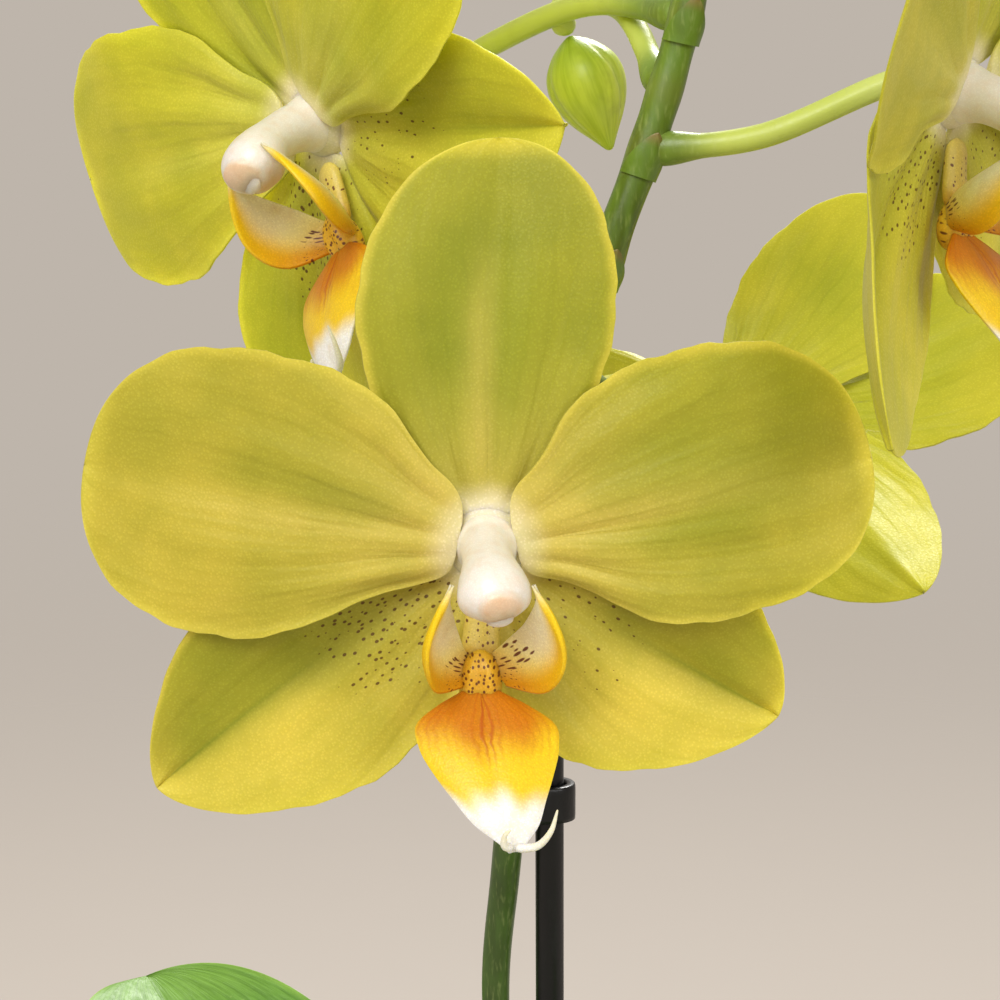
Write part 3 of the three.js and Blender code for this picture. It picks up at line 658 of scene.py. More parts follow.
NO_WAIST = ((0, 1), (0, 1))
SEPAL = dict(peak=0.55, tip=2.1, claw=1.6, root=2.2, wave=0.4, waves=1.6, waist=NO_WAIST, shaded=0)
PETAL = dict(peak=0.55, tip=2.3, claw=1.9, root=2.4, wave=0.8, waves=1.9)
LATERAL = dict(peak=0.5, tip=1.5, claw=1.7, root=2.4, wave=0.4, waves=1.4, shaded=0)
# angle is the direction from the flower's centre, left and right are the half widths on the
# anticlockwise and clockwise sides, layer is how far in front of the centre it starts, bow bulges
# it forward halfway, recurve bends its end back, cup lifts its edges, keel sinks its midrib, and
# sway bends it sideways. waist says how much narrower its foot is on its two sides, and how far
# up that reaches. inner is the side, 1 or -1, that lies next to the lip; a tepal with an inner side
# has painted light on that half and painted shade on the other. green is the share of the greener
# tone in it, and shaded how strongly the half that faces the dorsal sepal is painted olive as
# shade, with the sign of that half.
TEPALS = {
    "dorsal": dict(
        SEPAL, angle=91, length=40.2, left=14, right=13.6, layer=-0.6, bow=1.4, recurve=2,
        cup=0.3, keel=0.4, sway=-2, phase=0.1, inner=0, green=0.7),
    "lateralLeft": dict(
        LATERAL, angle=214, length=43.4, left=14, right=13.4, layer=-1.2, bow=0.5, recurve=3.4,
        cup=0.3, keel=1, sway=3, phase=0.5, inner=1, green=0.3,
        waist=((-0.2, 0.25), (0, 1))),
    "lateralRight": dict(
        LATERAL, angle=325.5, length=35, left=12.6, right=15.2, layer=-1.2, bow=0.6, recurve=3.6,
        cup=0.3, keel=1, sway=1.6, phase=0.2, inner=-1, green=0.2,
        waist=((0, 1), (-0.16, 0.25))),
    "petalLeft": dict(
        PETAL, angle=169, length=41.2, left=15.4, right=16.4, layer=1.1, bow=2.6, recurve=3,
        cup=-0.6, keel=0.3, sway=0, phase=0.35, inner=0, green=0.08,
        waist=((0.5, 0.28), (0.3, 0.12)), shaded=-0.25),
    "petalRight": dict(
        PETAL, angle=12.5, length=39.4, left=16.6, right=13, layer=1.1, bow=2.8, recurve=3.2,
        cup=-0.5, keel=0.3, sway=0, phase=0.8, inner=0, green=0.3,
        waist=((0.3, 0.1), (0.48, 0.16)), shaded=0.5),
}

# at is the centre of the hub, faces the way the open flower looks and up its top. opening tilts
# the tepals forward from flat, turns are what its tepals' directions add to the lowest flower's,
# bends how far their ends come forward, node the height its pedicel leaves the stem at, lead how
# long the pedicel's end is straight, sag the middle of the pedicel against a straight line, and
# fresh how newly it opened, from 0 to 1.
FLOWER = dict(size=1, turns={}, bends={}, lead=9)
FLOWERS = [
    dict(
        FLOWER, at=[-1.5, -46, 290], faces=[0, -1, -0.02], up=[0, 0, 1], opening=0, node=319,
        sag=[2, 2, 4], fresh=0),
    dict(
        FLOWER, at=[31.4, 20.1, 297.6], faces=[0.08, 0.68, -0.73], up=[0.32, 0.67, 0.67],
        size=0.932, opening=-1.2, node=304, lead=5, sag=[-2, -2, -3], fresh=1,
        turns=dict(dorsal=18.8, petalLeft=-23.7, lateralLeft=4.9, petalRight=-34, lateralRight=-2),
        bends=dict(dorsal=-2, lateralLeft=-3)),
    dict(
        FLOWER, at=[51.5, -29.4, 338.5], faces=[0.741, -0.639, -0.206], up=[0.191, -0.093, 0.977],
        opening=3.3, node=332, lead=4, sag=[0, 0, -2], fresh=0.8,
        turns=dict(petalLeft=-2.8, lateralLeft=12.1), bends=dict(petalLeft=15.8, lateralLeft=20.6)),
    dict(
        FLOWER, at=[-23, -2.5, 335.4], faces=[-0.69, -0.69, -0.23], up=[-0.44, 0.2, 0.88],
        size=1.06, opening=5, node=347.5, sag=[4, 4, 6], fresh=1,
        turns=dict(petalLeft=-7, lateralLeft=16, lateralRight=4, petalRight=4)),
    dict(
        FLOWER, at=[64, 14, 402], faces=[0.7, 0.7, 0.1], up=[0.1, 0, 1], size=0.94, opening=7,
        node=366, sag=[0, 0, -3], fresh=1),
    dict(
        FLOWER, at=[-12, -34, 408], faces=[-0.5, -0.86, 0.02], up=[-0.1, 0, 1], size=0.88,
        opening=8, node=384, sag=[0, 0, 5], fresh=0.9),
]

# Colours of an older flower and of a fresh one. GOLD is also painted light on a lateral sepal's
# half next to the lip, HALO a painted highlight along a midrib, and OLIVE painted shade.
YELLOW = (srgb(206, 190, 76), srgb(214, 210, 62))
OLIVE = (srgb(148, 160, 38), srgb(184, 193, 47))
GOLD = (srgb(228, 212, 92), srgb(230, 226, 82))
HALO = (srgb(226, 208, 116), srgb(224, 224, 112))
CREAM = srgb(255, 249, 236)
PALE_GREEN = srgb(196, 206, 92)

# How far the veins fan out to a side, in degrees, and how far apart two tepals' patterns are read.
FAN_REACH = 34
PATTERNS_APART = np.array([31, 17, 0])


def outline_share(tepal, s):
    """Half width at s as a share of the full half width."""
    past = s > tepal["peak"]
    t = np.where(past, (s - tepal["peak"]) / (1 - tepal["peak"]), (tepal["peak"] - s) / tepal["peak"])
    power = np.where(past, tepal["tip"], tepal["claw"])
    return np.maximum(0, 1 - t**power)**(1 / power)


def tepal_flat(tepal, s, v):
    """Distance along a tepal and across it, in millimetres, before it is bent."""
    full = np.where(v > 0, tepal["left"], tepal["right"])
    end = lerp(tepal["root"], 0.12, s)
    ragged = 1 + 0.009 * np.sin(2 * np.pi * (5.3 * s + tepal["phase"] + 0.3 * np.sign(v)))
    ragged = ragged + 0.005 * np.sin(2 * np.pi * (11.7 * s + 2.3 * tepal["phase"] + 0.2 * np.sign(v)))
    depth, width = (np.where(v > 0, *pair) for pair in zip(*tepal["waist"]))
    waist = depth * bell(s - 0.08, width)
    half = end + (full * ragged - end) * outline_share(tepal, s) * (1 - waist)
    return TEPAL_START + tepal["length"] * s, v * half + tepal["sway"] * s**2


def tepal_surface(tepal, opening, turn, bend):
    def surface(s, v):
        x, y = tepal_flat(tepal, s, v)
        bulge = np.sin(np.pi * s)
        ripple = np.sin(2 * np.pi * (tepal["waves"] * s + tepal["phase"] + 0.25 * np.sign(v)))
        rolls = np.sin(2 * np.pi * (1.15 * v + 0.8 * s + tepal["phase"])) * bulge * (1 - v**2)
        folds = np.sin(2 * np.pi * (2.1 * v - 0.1)) * bell(s, 0.5) * smooth(0, 0.15, s)
        fold = (np.sqrt(v**2 + 0.002) - 0.45) * smooth(0.1, 0.7, s) * outline_share(tepal, s)
        channel = tepal["keel"] * (0.5 * np.exp(-60 * v**2) * s - 3.4 * fold)
        z = (
            tepal["layer"] + tepal["bow"] * bulge - (tepal["recurve"] - bend) * s**2
            + tepal["cup"] * v**2 * bulge - channel
            + tepal["wave"] * ripple * np.abs(v)**3 * bulge + 0.3 * rolls + 0.36 * folds)
        out, height = x * math.cos(opening) - z * math.sin(opening), x * math.sin(opening)
        return turned(out, y, height + z * math.cos(opening), math.radians(tepal["angle"] + turn))

    return surface


def tepal_marks(tepal, number, fresh):
    """Colour, with painted light and shade, veins and spots of a tepal. number keeps the patterns of
    two tepals apart.
    """
    petal = tepal["cup"] < 0
    yellow, olive, gold, halo_tone = (lerp(old, new, fresh) for old, new in (YELLOW, OLIVE, GOLD, HALO))

    def marks(s, v, side):
        x, y = tepal_flat(tepal, s, v)
        away = np.hypot(x, y)
        fan = np.degrees(np.arctan2(y - tepal["sway"] * s**2, x + 1)) / FAN_REACH
        inner = v * tepal["inner"]
        base = (0.6 if petal else 0.95) * smooth(7.6, 3.6, away)
        halo = bell(away, 13) * (0.9 if petal else 0.6)
        # Painted shade: the half that faces the dorsal sepal is laid in olive.
        shaded = abs(tepal["shaded"]) * smooth(-0.2, 0.7, v * np.sign(tepal["shaded"]))
        shaded = shaded * smooth(0.15, 0.5, s) * smooth(1.05, 0.8, s)
        middle = bell(s - 0.5, 0.32) * bell(v, 0.6)
        edge = smooth(0.9, 1.0, np.abs(v)) + smooth(0.93, 1, s)
        if side > 0:
            # Painted highlight along the midrib ridge of a petal or the dorsal sepal, and painted shade
            # in the furrow beside it.
            crest_highlight = bell(v - 0.06, 0.13) * smooth(0.05, 0.2, s) * smooth(0.85, 0.4, s)
            furrow_shade = bell(v + 0.2, 0.13) * smooth(0.05, 0.25, s) * smooth(0.8, 0.4, s)
            # Painted shade: the midrib crease of a lateral sepal is laid in darker olive.
            crease_shade = bell(v, 0.05) * smooth(0.3, 0.7, s)
            # Painted light on the half of a lateral sepal next to the lip, and painted shade on its
            # other half.
            lit = smooth(0.0, 0.3, inner) * smooth(0.1, 0.6, s)
            dim_shade = smooth(0.1, -0.15, inner) * smooth(0.1, 0.5, s) * smooth(1, 0.8, s)
            # The painted light and shade of a lateral sepal's fold, then those of a petal's or the
            # dorsal sepal's midrib.
            folded = [gold, 0.85 * lit, olive, 0.42 * dim_shade, olive * 0.8, 0.7 * crease_shade]
            ridge_light_and_shade = [halo_tone, 0.4 * crest_highlight, olive, 0.4 * furrow_shade]
            tone = blend(
                lerp(yellow, olive, tepal["green"]), olive, middle * tepal["green"], olive, shaded,
                *(folded if tepal["inner"] else ridge_light_and_shade), gold, 0.75 * edge, halo_tone, halo,
                CREAM, base)
        else:
            tone = blend(yellow, olive, middle * 0.5, PALE_GREEN, 0.15 + 0.4 * halo, CREAM, base)
        strength = smooth(0.03, 0.2, s) * (1 - 0.6 * smooth(0.55, 0.95, s)) * (0.9 if side > 0 else 1.3)
        near = np.exp(-((x - 13) / 9)**4 - ((y * tepal["inner"] - 1) / 7)**4)
        spots = near * (1.15 if tepal["inner"] > 0 else 0.55) * (tepal["inner"] != 0) * (side > 0)
        veins = np.stack([lerp(v, fan, 0.55) * 6.5 + 3.7 * number, s, strength], -1)
        place = np.stack([x, y, 0 * x], -1) + PATTERNS_APART * number
        return dict(tone=tone, veins=veins, spots=spots, place=place)

    return marks


def tepal_thickness(s, v):
    return lerp(0.95, 0.62, s) * (1 - 0.6 * np.abs(v)**5) * (1 - 0.5 * smooth(0.9, 1, s))


HUB_PROFILE = [
    [0, HUB_BACK], [2.4, HUB_BACK], [HUB_RADIUS, -1.5], [HUB_RADIUS, -0.7], [3.7, 0.4],
    [3.15, 1.3], [2.6, 1.5], [2.4, 0.6], [0, 0.6]]


def tepals_shape(flower):
    opening, turns, bends = math.radians(flower["opening"]), flower["turns"], flower["bends"]
    shapes = []
    for number, (name, tepal) in enumerate(TEPALS.items()):
        surface = tepal_surface(tepal, opening, turns.get(name, 0), bends.get(name, 0))
        marks = tepal_marks(tepal, number, flower["fresh"])
        shapes.append(sheet(surface, *TEPAL_GRID, tepal_thickness, marks))
    hub = lathe(rounded(HUB_PROFILE, 0.7, 6), 48)
    hub.mark("tone", blend(CREAM, PALE_GREEN, smooth(0, -3, hub.points[:, 2]) * 0.8))
    hub.mark("place", hub.points)
    return joined([*shapes, hub])


# The lip: its claw, callus, side lobes, middle lobe and tendrils.
CLAW_PATH = [[-0.2, -HUB_RADIUS - 2 * GAP, 1], [-0.6, -9, 2], [-0.8, -13, 3.2]]
CALLUS_AT = np.array([-0.7, -14, 3.6])
CALLUS_REACH = np.array([2.35, 3.3, 2])
# across is the way from the outer edge of a side lobe to its inner one.
SIDE_LOBES = [
    dict(side=-1, across=[0.42, 0.4, -0.82], half=3.5, path=[
        [-2.2, -13.8, 3.2], [-5, -12.4, 6.6], [-5.8, -8.8, 9.8], [-4.9, -5.2, 11.6],
        [-3.6, -1.9, 12.4]]),
    dict(side=1, across=[-0.62, 0.45, -0.64], half=3.8, path=[
        [1.2, -13.6, 3.2], [4.9, -12.2, 6.8], [6.9, -8.9, 10], [6.4, -5.2, 11.7], [4.9, -1.9, 12.4]]),
]
MIDLOBE_PATH = [
    [-0.7, -14.8, 4.2], [-0.2, -17.6, 8], [0.5, -21.4, 12], [1.7, -25.6, 15.2], [3, -29.2, 16.8]]
SIDE_LOBE_GRID = (34, 18)
MIDLOBE_GRID = (44, 30)
MIDLOBE_HALF_WIDTHS = [1.5, 4.7, 7.5, 7.4, 6.3, 5, 3.4, 0.7]
TENDRIL_PATHS = [
    [[3, -28.7, 16.7], [5.2, -28.3, 17.3], [6.6, -26.6, 17.8], [7.3, -24.2, 18]],
    [[2.6, -28.6, 16.9], [1.9, -28.2, 17.6], [1.9, -26.9, 18.2], [2.5, -26.2, 18.4]],
]
LIP_ORANGE = srgb(210, 128, 12)
LIP_YELLOW = srgb(248, 210, 24)
LIP_WHITE = srgb(248, 248, 245)
LIP_CREAM = srgb(248, 238, 140)
LIP_AMBER = srgb(206, 132, 18)
CALLUS_GOLD = srgb(238, 190, 52)
CLAW_YELLOW = srgb(210, 182, 70)


def claw_shape():
    claw = tube(Line(CLAW_PATH), lambda s: 1.7 + 0.5 * s, 24, 24, (1, 0, 0), 0.55)
    s = claw.marks["s"]
    claw.mark("tone", blend(LIP_CREAM, CLAW_YELLOW, 0.5 + 0.5 * s, LIP_AMBER, 0.6 * smooth(0.6, 1, s)))
    return claw.mark("spots", 0.75 * smooth(0.1, 0.3, s))


def callus_shape():
    """A knob with two rounded ridges and a groove between them."""
    polar = np.linspace(0, np.pi, 27)
    callus = lathe(np.stack([np.sin(polar), -np.cos(polar)], -1), 36)
    x, y, z = callus.points.T
    ridge = 1 + 0.14 * smooth(-0.1, 0.7, z) * np.cos(1.8 * np.pi * x + np.pi)
    callus.points = np.stack([x * (1 - 0.16 * y), y, z * ridge], -1) * CALLUS_REACH + CALLUS_AT
    callus.mark("tone", blend(CALLUS_GOLD, LIP_AMBER, 0.4 * smooth(0, -3, y * CALLUS_REACH[1])))
    return callus.mark("spots", 1.1)


def side_lobe_surface(side, across, half, path):
    line = Line(path)
    inward = unit(across)

    def surface(s, v):
        reach = 0.1 + 0.7 * smooth(0.7, 0, s) + half * np.sin(np.pi * (0.16 + 0.84 * s))**1.45
        point = line.at(s) + inward * (v * reach)[..., None]
        point[..., 0] -= side * (1.1 * v**2 * reach / half + 0.15 * np.sin(9 * s + 2 * v))
        return point

    return surface


def side_lobe_marks(side):
    def marks(s, v, face):
        edge = smooth(0.55, -0.7, v)
        low = smooth(0.75, 0.3, s)
        foot = smooth(0.4, 0.12, s)
        tone = blend(
            LIP_CREAM, LIP_WHITE, 0.6 * smooth(0.22, 0.6, s), LIP_YELLOW, edge * smooth(1.05, 0.85, s),
            LIP_ORANGE, edge**2 * low * 0.5, LIP_AMBER, foot * 0.6)
        reach = 0.52 if side > 0 else 0.34
        dashes = smooth(reach, reach - 0.12, s) * smooth(0.06, 0.14, s) * smooth(-0.1, 0.35, v)
        place = np.stack([s * 17, v * 4 + 20 * side, 0 * s], -1)
        return dict(tone=tone, dashes=dashes * 1.2, place=place, spots=0.5 * foot)

    return marks


def middle_lobe_surface():
    line = Line(MIDLOBE_PATH)
    half_at = value_along(MIDLOBE_HALF_WIDTHS)

    def surface(s, v):
        point = line.at(s)
        point[..., 0] += v * half_at(s) * (1 + 0.015 * np.sin(14 * s))
        groove = 0.35 * bell(v, 0.12) * smooth(0.85, 0.2, s)
        point[..., 2] -= 1.6 * v**2 * np.sin(np.pi * s) + 0.5 * (1 - np.abs(v)) * s + groove
        return point

    return surface


def middle_lobe_marks(s, v, side):
    tone = blend(
        LIP_ORANGE, LIP_AMBER, 0.7 * bell(v, 0.35) * smooth(0.5, 0.1, s),
        LIP_YELLOW, smooth(0.27, 0.56, s + 0.14 * v**2 + 0.03 * np.sin(9 * v)),
        LIP_WHITE, smooth(0.64, 0.8, s + 0.03 * np.cos(5 * v) + 0.02 * np.sin(11 * v)))
    streaks = bell(v, 0.16) * smooth(0.62, 0.3, s) + 0.3 * smooth(0.6, 0.3, s) * np.abs(v)
    place = np.stack([s * 22, v * 7 + 60, 0 * s], -1)
    return dict(tone=tone, streaks=streaks, place=place)


def tendril_shape(path):
    tendril = tube(Line(path), lambda s: 0.5 * (1.06 - s)**0.6, 24, 12)
    return tendril.mark("tone", blend(LIP_WHITE, LIP_CREAM, 0.4 * tendril.marks["s"]))


def lip_shape():
    def thin(s, v):
        return 0.85 * (1 - 0.6 * np.abs(v)**4) * (1 - 0.6 * smooth(0.85, 1, s))

    shapes = [claw_shape(), callus_shape(), *map(tendril_shape, TENDRIL_PATHS)]
    for shape in shapes:
        shape.mark("place", shape.points)
    for lobe in SIDE_LOBES:
        surface, marks = side_lobe_surface(**lobe), side_lobe_marks(lobe["side"])
        shapes.append(sheet(surface, *SIDE_LOBE_GRID, thin, marks))
    shapes.append(sheet(middle_lobe_surface(), *MIDLOBE_GRID, thin, middle_lobe_marks))
    return joined(shapes)


# The column: a stout stalk that flares at its foot, droops a little and ends in a hooded cap.
COLUMN_PATH = [
    [0, 0, -0.5], [0, 0, 1.6], [0, -0.2, 4.5], [0.4, -1.4, 9], [0.95, -3.8, 12.4], [1.2, -5.5, 13.6]]
COLUMN_RADII = [3.8, 3.35, 2.9, 2.72, 2.65, 2.7, 3, 3.45, 3.75, 3.75, 3.3]
COLUMN_ROUND = 0.79
CAP_BEAK = [[1.1, -3.1, 13.6], [1.3, -4.7, 13.8], [1.45, -6.1, 13]]
LID_AT = (1.6, -4.1)
LID_REACH = (2.3, 2.1)
COLUMN_WHITE = srgb(243, 239, 231)
# The peach blush of the cap, also laid as painted shade under the head.
COLUMN_BLUSH_AND_SHADE = srgb(232, 202, 168)


def column_shape():
    radius = value_along(COLUMN_RADII)

    def radius_at(s):
        return radius(s) * dome((s - COLUMN_ROUND) / (1 - COLUMN_ROUND))

    def profile(s, turn):
        under = bell(turn - 0.5, 0.1)
        hollow = under * smooth(0.6, 0.75, s) * smooth(1, 0.9, s)
        wings = 0.04 * np.cos(4 * np.pi * turn) * smooth(0.3, 0.6, s)
        return 1 - 0.12 * hollow - wings

    column = tube(
        Line(COLUMN_PATH), radius_at, 110, 44, (0, 1, 0), round_ends=False, profile=profile)
    s, turn = column.marks["s"], column.marks["turn"]
    # Painted shade: the underside of the head, under its cap, is laid in the peach blush.
    under = bell(turn - 0.5, 0.14) * smooth(0.6, 0.8, s)
    x, y, z = column.points.T
    lid = np.hypot((x - LID_AT[0]) / LID_REACH[0], (y - LID_AT[1]) / LID_REACH[1]) + 2 * (z < 13)
    column.points[:, 2] += 0.5 * smooth(1.1, 0.85, lid)
    # The lid keeps its own peach blush; on the underside the blush is painted shade.
    blush_and_shade = np.maximum(under * 0.85, 0.95 * smooth(1.15, 0.7, lid))
    column.mark("tone", blend(COLUMN_WHITE, COLUMN_BLUSH_AND_SHADE, blush_and_shade, CREAM, smooth(0.22, 0.1, s)))
    beak = tube(Line(CAP_BEAK), lambda s: 2.5 - 1.3 * s, 24, 30, (1, 0, 0), 0.5)
    beak.mark("tone", blend(COLUMN_WHITE, COLUMN_BLUSH_AND_SHADE, 0.5 * smooth(1, 0.4, beak.marks["s"])))
    return joined([column, beak])


def flower_place(flower):
    forward = unit(flower["faces"])
    right = unit(np.cross(flower["up"], forward))
    place = np.eye(4)
    place[:3, :3] = np.stack([right, np.cross(forward, right), forward], 1) * flower["size"]
    place[:3, 3] = flower["at"]
    return place


def build_flowers():
    column = column_shape()
    lip = lip_shape()
    for number, flower in enumerate(FLOWERS, 1):
        place = flower_place(flower)
        add_piece(f"flower_{number}_tepals", tepals_shape(flower).moved(place), "petal")
        add_piece(f"flower_{number}_column", column.moved(place), "column")
        add_piece(f"flower_{number}_lip", lip.moved(place), "lip")


# Buds. at is where the pedicel ends, and points the way the bud looks from there.
BUD_LEAD = 3
BUDS = [
    dict(at=[8.5, 2, 346], points=[0.35, 0.05, -0.93], length=15, radius=5, node=339, sag=[0, 6, 6]),
    dict(at=[30, -44, 424], points=[0.75, -0.6, 0.1], length=16, radius=6, node=404, sag=[2, 2, -2]),
    dict(at=[10, -50, 434], points=[-0.7, -0.7, 0.1], length=13, radius=4.8, node=419, sag=[0, 0, 2]),
    dict(at=[26, -60, 440], points=[0.5, -0.8, 0.2], length=10, radius=3.8, node=431, sag=[2, 0, 0]),
    dict(at=[12, -66, 442], points=[-0.3, -0.9, 0.3], length=7, radius=2.8, node=437, sag=[0, 0, 0]),
]
BUD_RADII = [0.2, 0.62, 0.9, 1, 0.97, 0.84, 0.62, 0.34, 0.1]
BUD_GREEN = srgb(176, 200, 66)
BUD_YELLOW = srgb(206, 220, 84)
BUD_PALE = srgb(230, 240, 166)


def bud_shape(bud):
    """An egg of three folded sepals, with a seam where each closes over the next."""
    along = unit(bud["points"])
    start = np.array(bud["at"], float)
    radius = value_along(BUD_RADII)
    line = Line([start, start + along * bud["length"] / 2, start + along * bud["length"]])

    def profile(s, turn):
        lobes = np.abs(np.sin(3 * np.pi * (turn + 0.08 * s)))
        return 1 - 0.07 * bell(lobes, 0.09) * smooth(0.05, 0.3, s) - 0.05 * (1 - lobes)

    shape = tube(line, lambda s: bud["radius"] * radius(s), 40, 60, (0.3, 1, 0.2), profile=profile)
    s, turn = shape.marks["s"], shape.marks["turn"]
    seam = bell(np.sin(3 * np.pi * (turn + 0.08 * s)), 0.16)
    shape.mark("tone", blend(
        BUD_YELLOW, BUD_GREEN, smooth(0.5, 0, s) + 0.6 * smooth(0.8, 1, s), BUD_PALE, 0.3 * seam))
    round_it = bud["radius"] * np.cos(2 * np.pi * turn), bud["radius"] * np.sin(2 * np.pi * turn)
    return shape.mark("place", np.stack([*round_it, bud["length"] * s], -1))


# The flower stem
STEM = Line([
    [2, 6, 97], [8.5, 13.5, 122], [4.6, 19.5, 165], [-0.7, 22.5, 213], [0.7, 21, 233],
    [3.4, 12, 262], [7.6, -4, 294], [12.4, -16, 319], [17, -16.4, 332], [21.6, -17, 348],
    [24.5, -20, 368], [25, -27, 390], [23, -37, 410], [20, -50, 427], [18, -62, 436]])
STEM_RADII = [2.4, 2.1, 1.95, 1.85, 1.85, 2, 2.1, 2.15, 2.15, 2.05, 1.9, 1.7, 1.4, 1.1, 0.8]
SCALE_HEIGHTS = [140, 188]
BRACT_GRID = (16, 14)
STEM_GREEN = srgb(102, 132, 46)
STEM_DARK = srgb(54, 82, 22)
PEDICEL_GREEN = srgb(196, 210, 100)
SCALE_BROWN = srgb(138, 118, 70)


def stem_at(height):
    return STEM.at(STEM.share_at_height(height))


def stem_shape():
    nodes = [flower["node"] for flower in FLOWERS] + [bud["node"] for bud in BUDS] + SCALE_HEIGHTS
    places = [STEM.share_at_height(height) for height in nodes]
    radius = value_along(STEM_RADII)

    def radius_at(s):
        swell = sum(bell((s - place) * STEM.length, 3.2) for place in places)
        return radius(s) + 0.25 * np.minimum(swell, 1)

    main = tube(STEM, radius_at, 260, 24, (1, 0, 0))
    s = main.marks["s"]
    swell = sum(bell((s - place) * STEM.length, 2.2) for place in places)
    main.mark("tone", blend(
        STEM_GREEN, STEM_DARK, 0.8 * smooth(0.75, 0.4, s), PEDICEL_GREEN, 0.5 * smooth(0.8, 1, s),
        SCALE_BROWN, 0.2 * swell))
    return main.mark("mottle", 1)


def pedicel_shape(node, end, points, sag, lead):
    """A stalk from its node on the stem to the back of a flower or the foot of a bud."""
    start = stem_at(node)
    stop = end - points * GAP * 0.4
    before = end - points * (GAP * 1.5 + lead)
    middle = lerp(start, before, 0.45) + np.array(sag)
    line = Line([start, middle, before, stop])

    def radius_at(s):
        foot = 0.42 * smooth(7.5, 2.5, s * line.length)
        return PEDICEL_RADIUS * (1 + foot + 0.12 * smooth(0.8, 1, s))

    def profile(s, turn):
        return 1 + 0.03 * np.cos(2 * np.pi * (6 * turn + 0.8 * s)) * smooth(0.3, 0.7, s)

    shape = tube(line, radius_at, 48, 24, profile=profile)
    s = shape.marks["s"]
    shape.mark("mottle", 0.9 * smooth(0.2, 0, s) + 0.1)
    return shape.mark("tone", blend(
        PEDICEL_GREEN, STEM_GREEN, smooth(0.3, 0.08, s) * 0.9, BUD_PALE, 0.5 * smooth(0.6, 1, s)))


def bract_shape(node):
    """A small pointed scale that clasps the stem under a node."""
    foot, tip = stem_at(node - 3), stem_at(node + 4)
    up = unit(tip - foot)
    side = unit(np.cross(up, [0.3, -1, 0.1]))
    out = np.cross(side, up)

    def surface(s, v):
        angle = v * 1.35 * (1 - s)**0.7
        reach = 2.35 + 0.3 * smooth(0, 0.5, s)
        round_it = np.cos(angle)[..., None] * out + np.sin(angle)[..., None] * side
        return foot + (s * 5.6)[..., None] * up + reach[..., None] * round_it

    shape = sheet(surface, *BRACT_GRID, lambda s, v: 0.3 * (1 - 0.6 * np.abs(v)))
    height = (shape.points - foot) @ up
    shape.mark("mottle", 0.6)
    return shape.mark("tone", blend(STEM_GREEN, SCALE_BROWN, smooth(3.6, 5.4, height) * 0.9))


def build_stem():
    shapes = [stem_shape()]
    for flower in FLOWERS:
        end = flower_place(flower) @ [0, 0, HUB_BACK, 1]
        shapes.append(pedicel_shape(
            flower["node"], end[:3], unit(flower["faces"]), flower["sag"], flower["lead"]))
    for bud in BUDS:
        shapes.append(pedicel_shape(bud["node"], bud["at"], unit(bud["points"]), bud["sag"], BUD_LEAD))
    heights = [flower["node"] for flower in FLOWERS] + SCALE_HEIGHTS
    shapes += [bract_shape(height) for height in heights]
    add_piece("flower_stem", joined(shapes), "stem")
    for number, bud in enumerate(BUDS, 1):
        add_piece(f"bud_{number}", bud_shape(bud), "bud")


# Stake and clips

def build_stake():
    line = Line([STAKE_FOOT, lerp(STAKE_FOOT, STAKE_HEAD, 0.5), STAKE_HEAD])

    def profile(s, turn):
        return 1 - 0.03 * bell(np.sin(4 * np.pi * turn), 0.25) + 0 * s

    stake = tube(line, lambda s: STAKE_RADIUS + 0 * s, 60, 40, (1, 0, 0), profile=profile)
    add_piece("stake", stake, "plastic")
    for number, height in enumerate(CLIP_HEIGHTS, 1):
        add_piece(f"clip_{number}", clip_shape(height), "plastic")


def clip_shape(height):
    """A clip of two arms that hold the stem and the stake, with a rounded edge."""
    share = (height - STAKE_FOOT[2]) / (STAKE_HEAD[2] - STAKE_FOOT[2])
    stake, stem = lerp(STAKE_FOOT, STAKE_HEAD, share), stem_at(height)
    between = unit(stake - stem)
    middle = (stake + stem) / 2
    half = np.linalg.norm(stake - stem) / 2
    across = unit(np.cross([0, 0, 1], between))
    up = np.cross(between, across)
    turn = circle(CLIP_SIDES)
    straight = np.where(np.cos(turn) >= 0, half, -half)
    section = rounded([[0, -0.5], [1, -0.5], [1, 0.5], [0, 0.5], [0, -0.5], [1, -0.5]], 0.18, 3)[3:-3]
    rings = []
    for wall, level in section:
        radius = STAKE_RADIUS + GAP + wall * CLIP_WALL
        x = straight + np.cos(turn) * radius
        waist = 1 - 0.32 * bell(x, 0.6 * half) * (0.4 + 0.6 * wall)
        y = np.sin(turn) * radius * waist
        rings.append(middle + x[:, None] * between + y[:, None] * across + level * CLIP_HEIGHT * up)
    around = grid_faces(len(rings) + 1, CLIP_SIDES, flip=True, closed=True)
    return Shape(rings, [tuple(k % (len(rings) * CLIP_SIDES) for k in face) for face in around])


# Leaves. heading is the direction seen from above, foot the height that it leaves the crown at,
# rise and end its slope at both ends, and half its half width.
LEAF_START = 5.5
LEAF_BASE_HALF = 6
LEAF_GRID = (84, 44)
LEAF_OUTLINE = dict(peak=0.62, tip=2.1, claw=1.2)
LEAVES = [
    dict(heading=123, foot=110, length=130, half=27, rise=59, end=22),
    dict(heading=-56, foot=104, length=152, half=31, rise=50, end=-42),
    dict(heading=158, foot=101, length=142, half=30, rise=40, end=-48),
    dict(heading=-28, foot=112, length=112, half=26, rise=62, end=4),
    dict(heading=138, foot=117, length=70, half=16, rise=74, end=58),
    dict(heading=-118, foot=97, length=124, half=27, rise=48, end=-54),
]
LEAF_GREEN = srgb(72, 124, 40)
LEAF_LIGHT = srgb(132, 170, 66)
LEAF_DARK = srgb(46, 92, 34)
LEAF_UNDER = srgb(104, 138, 66)


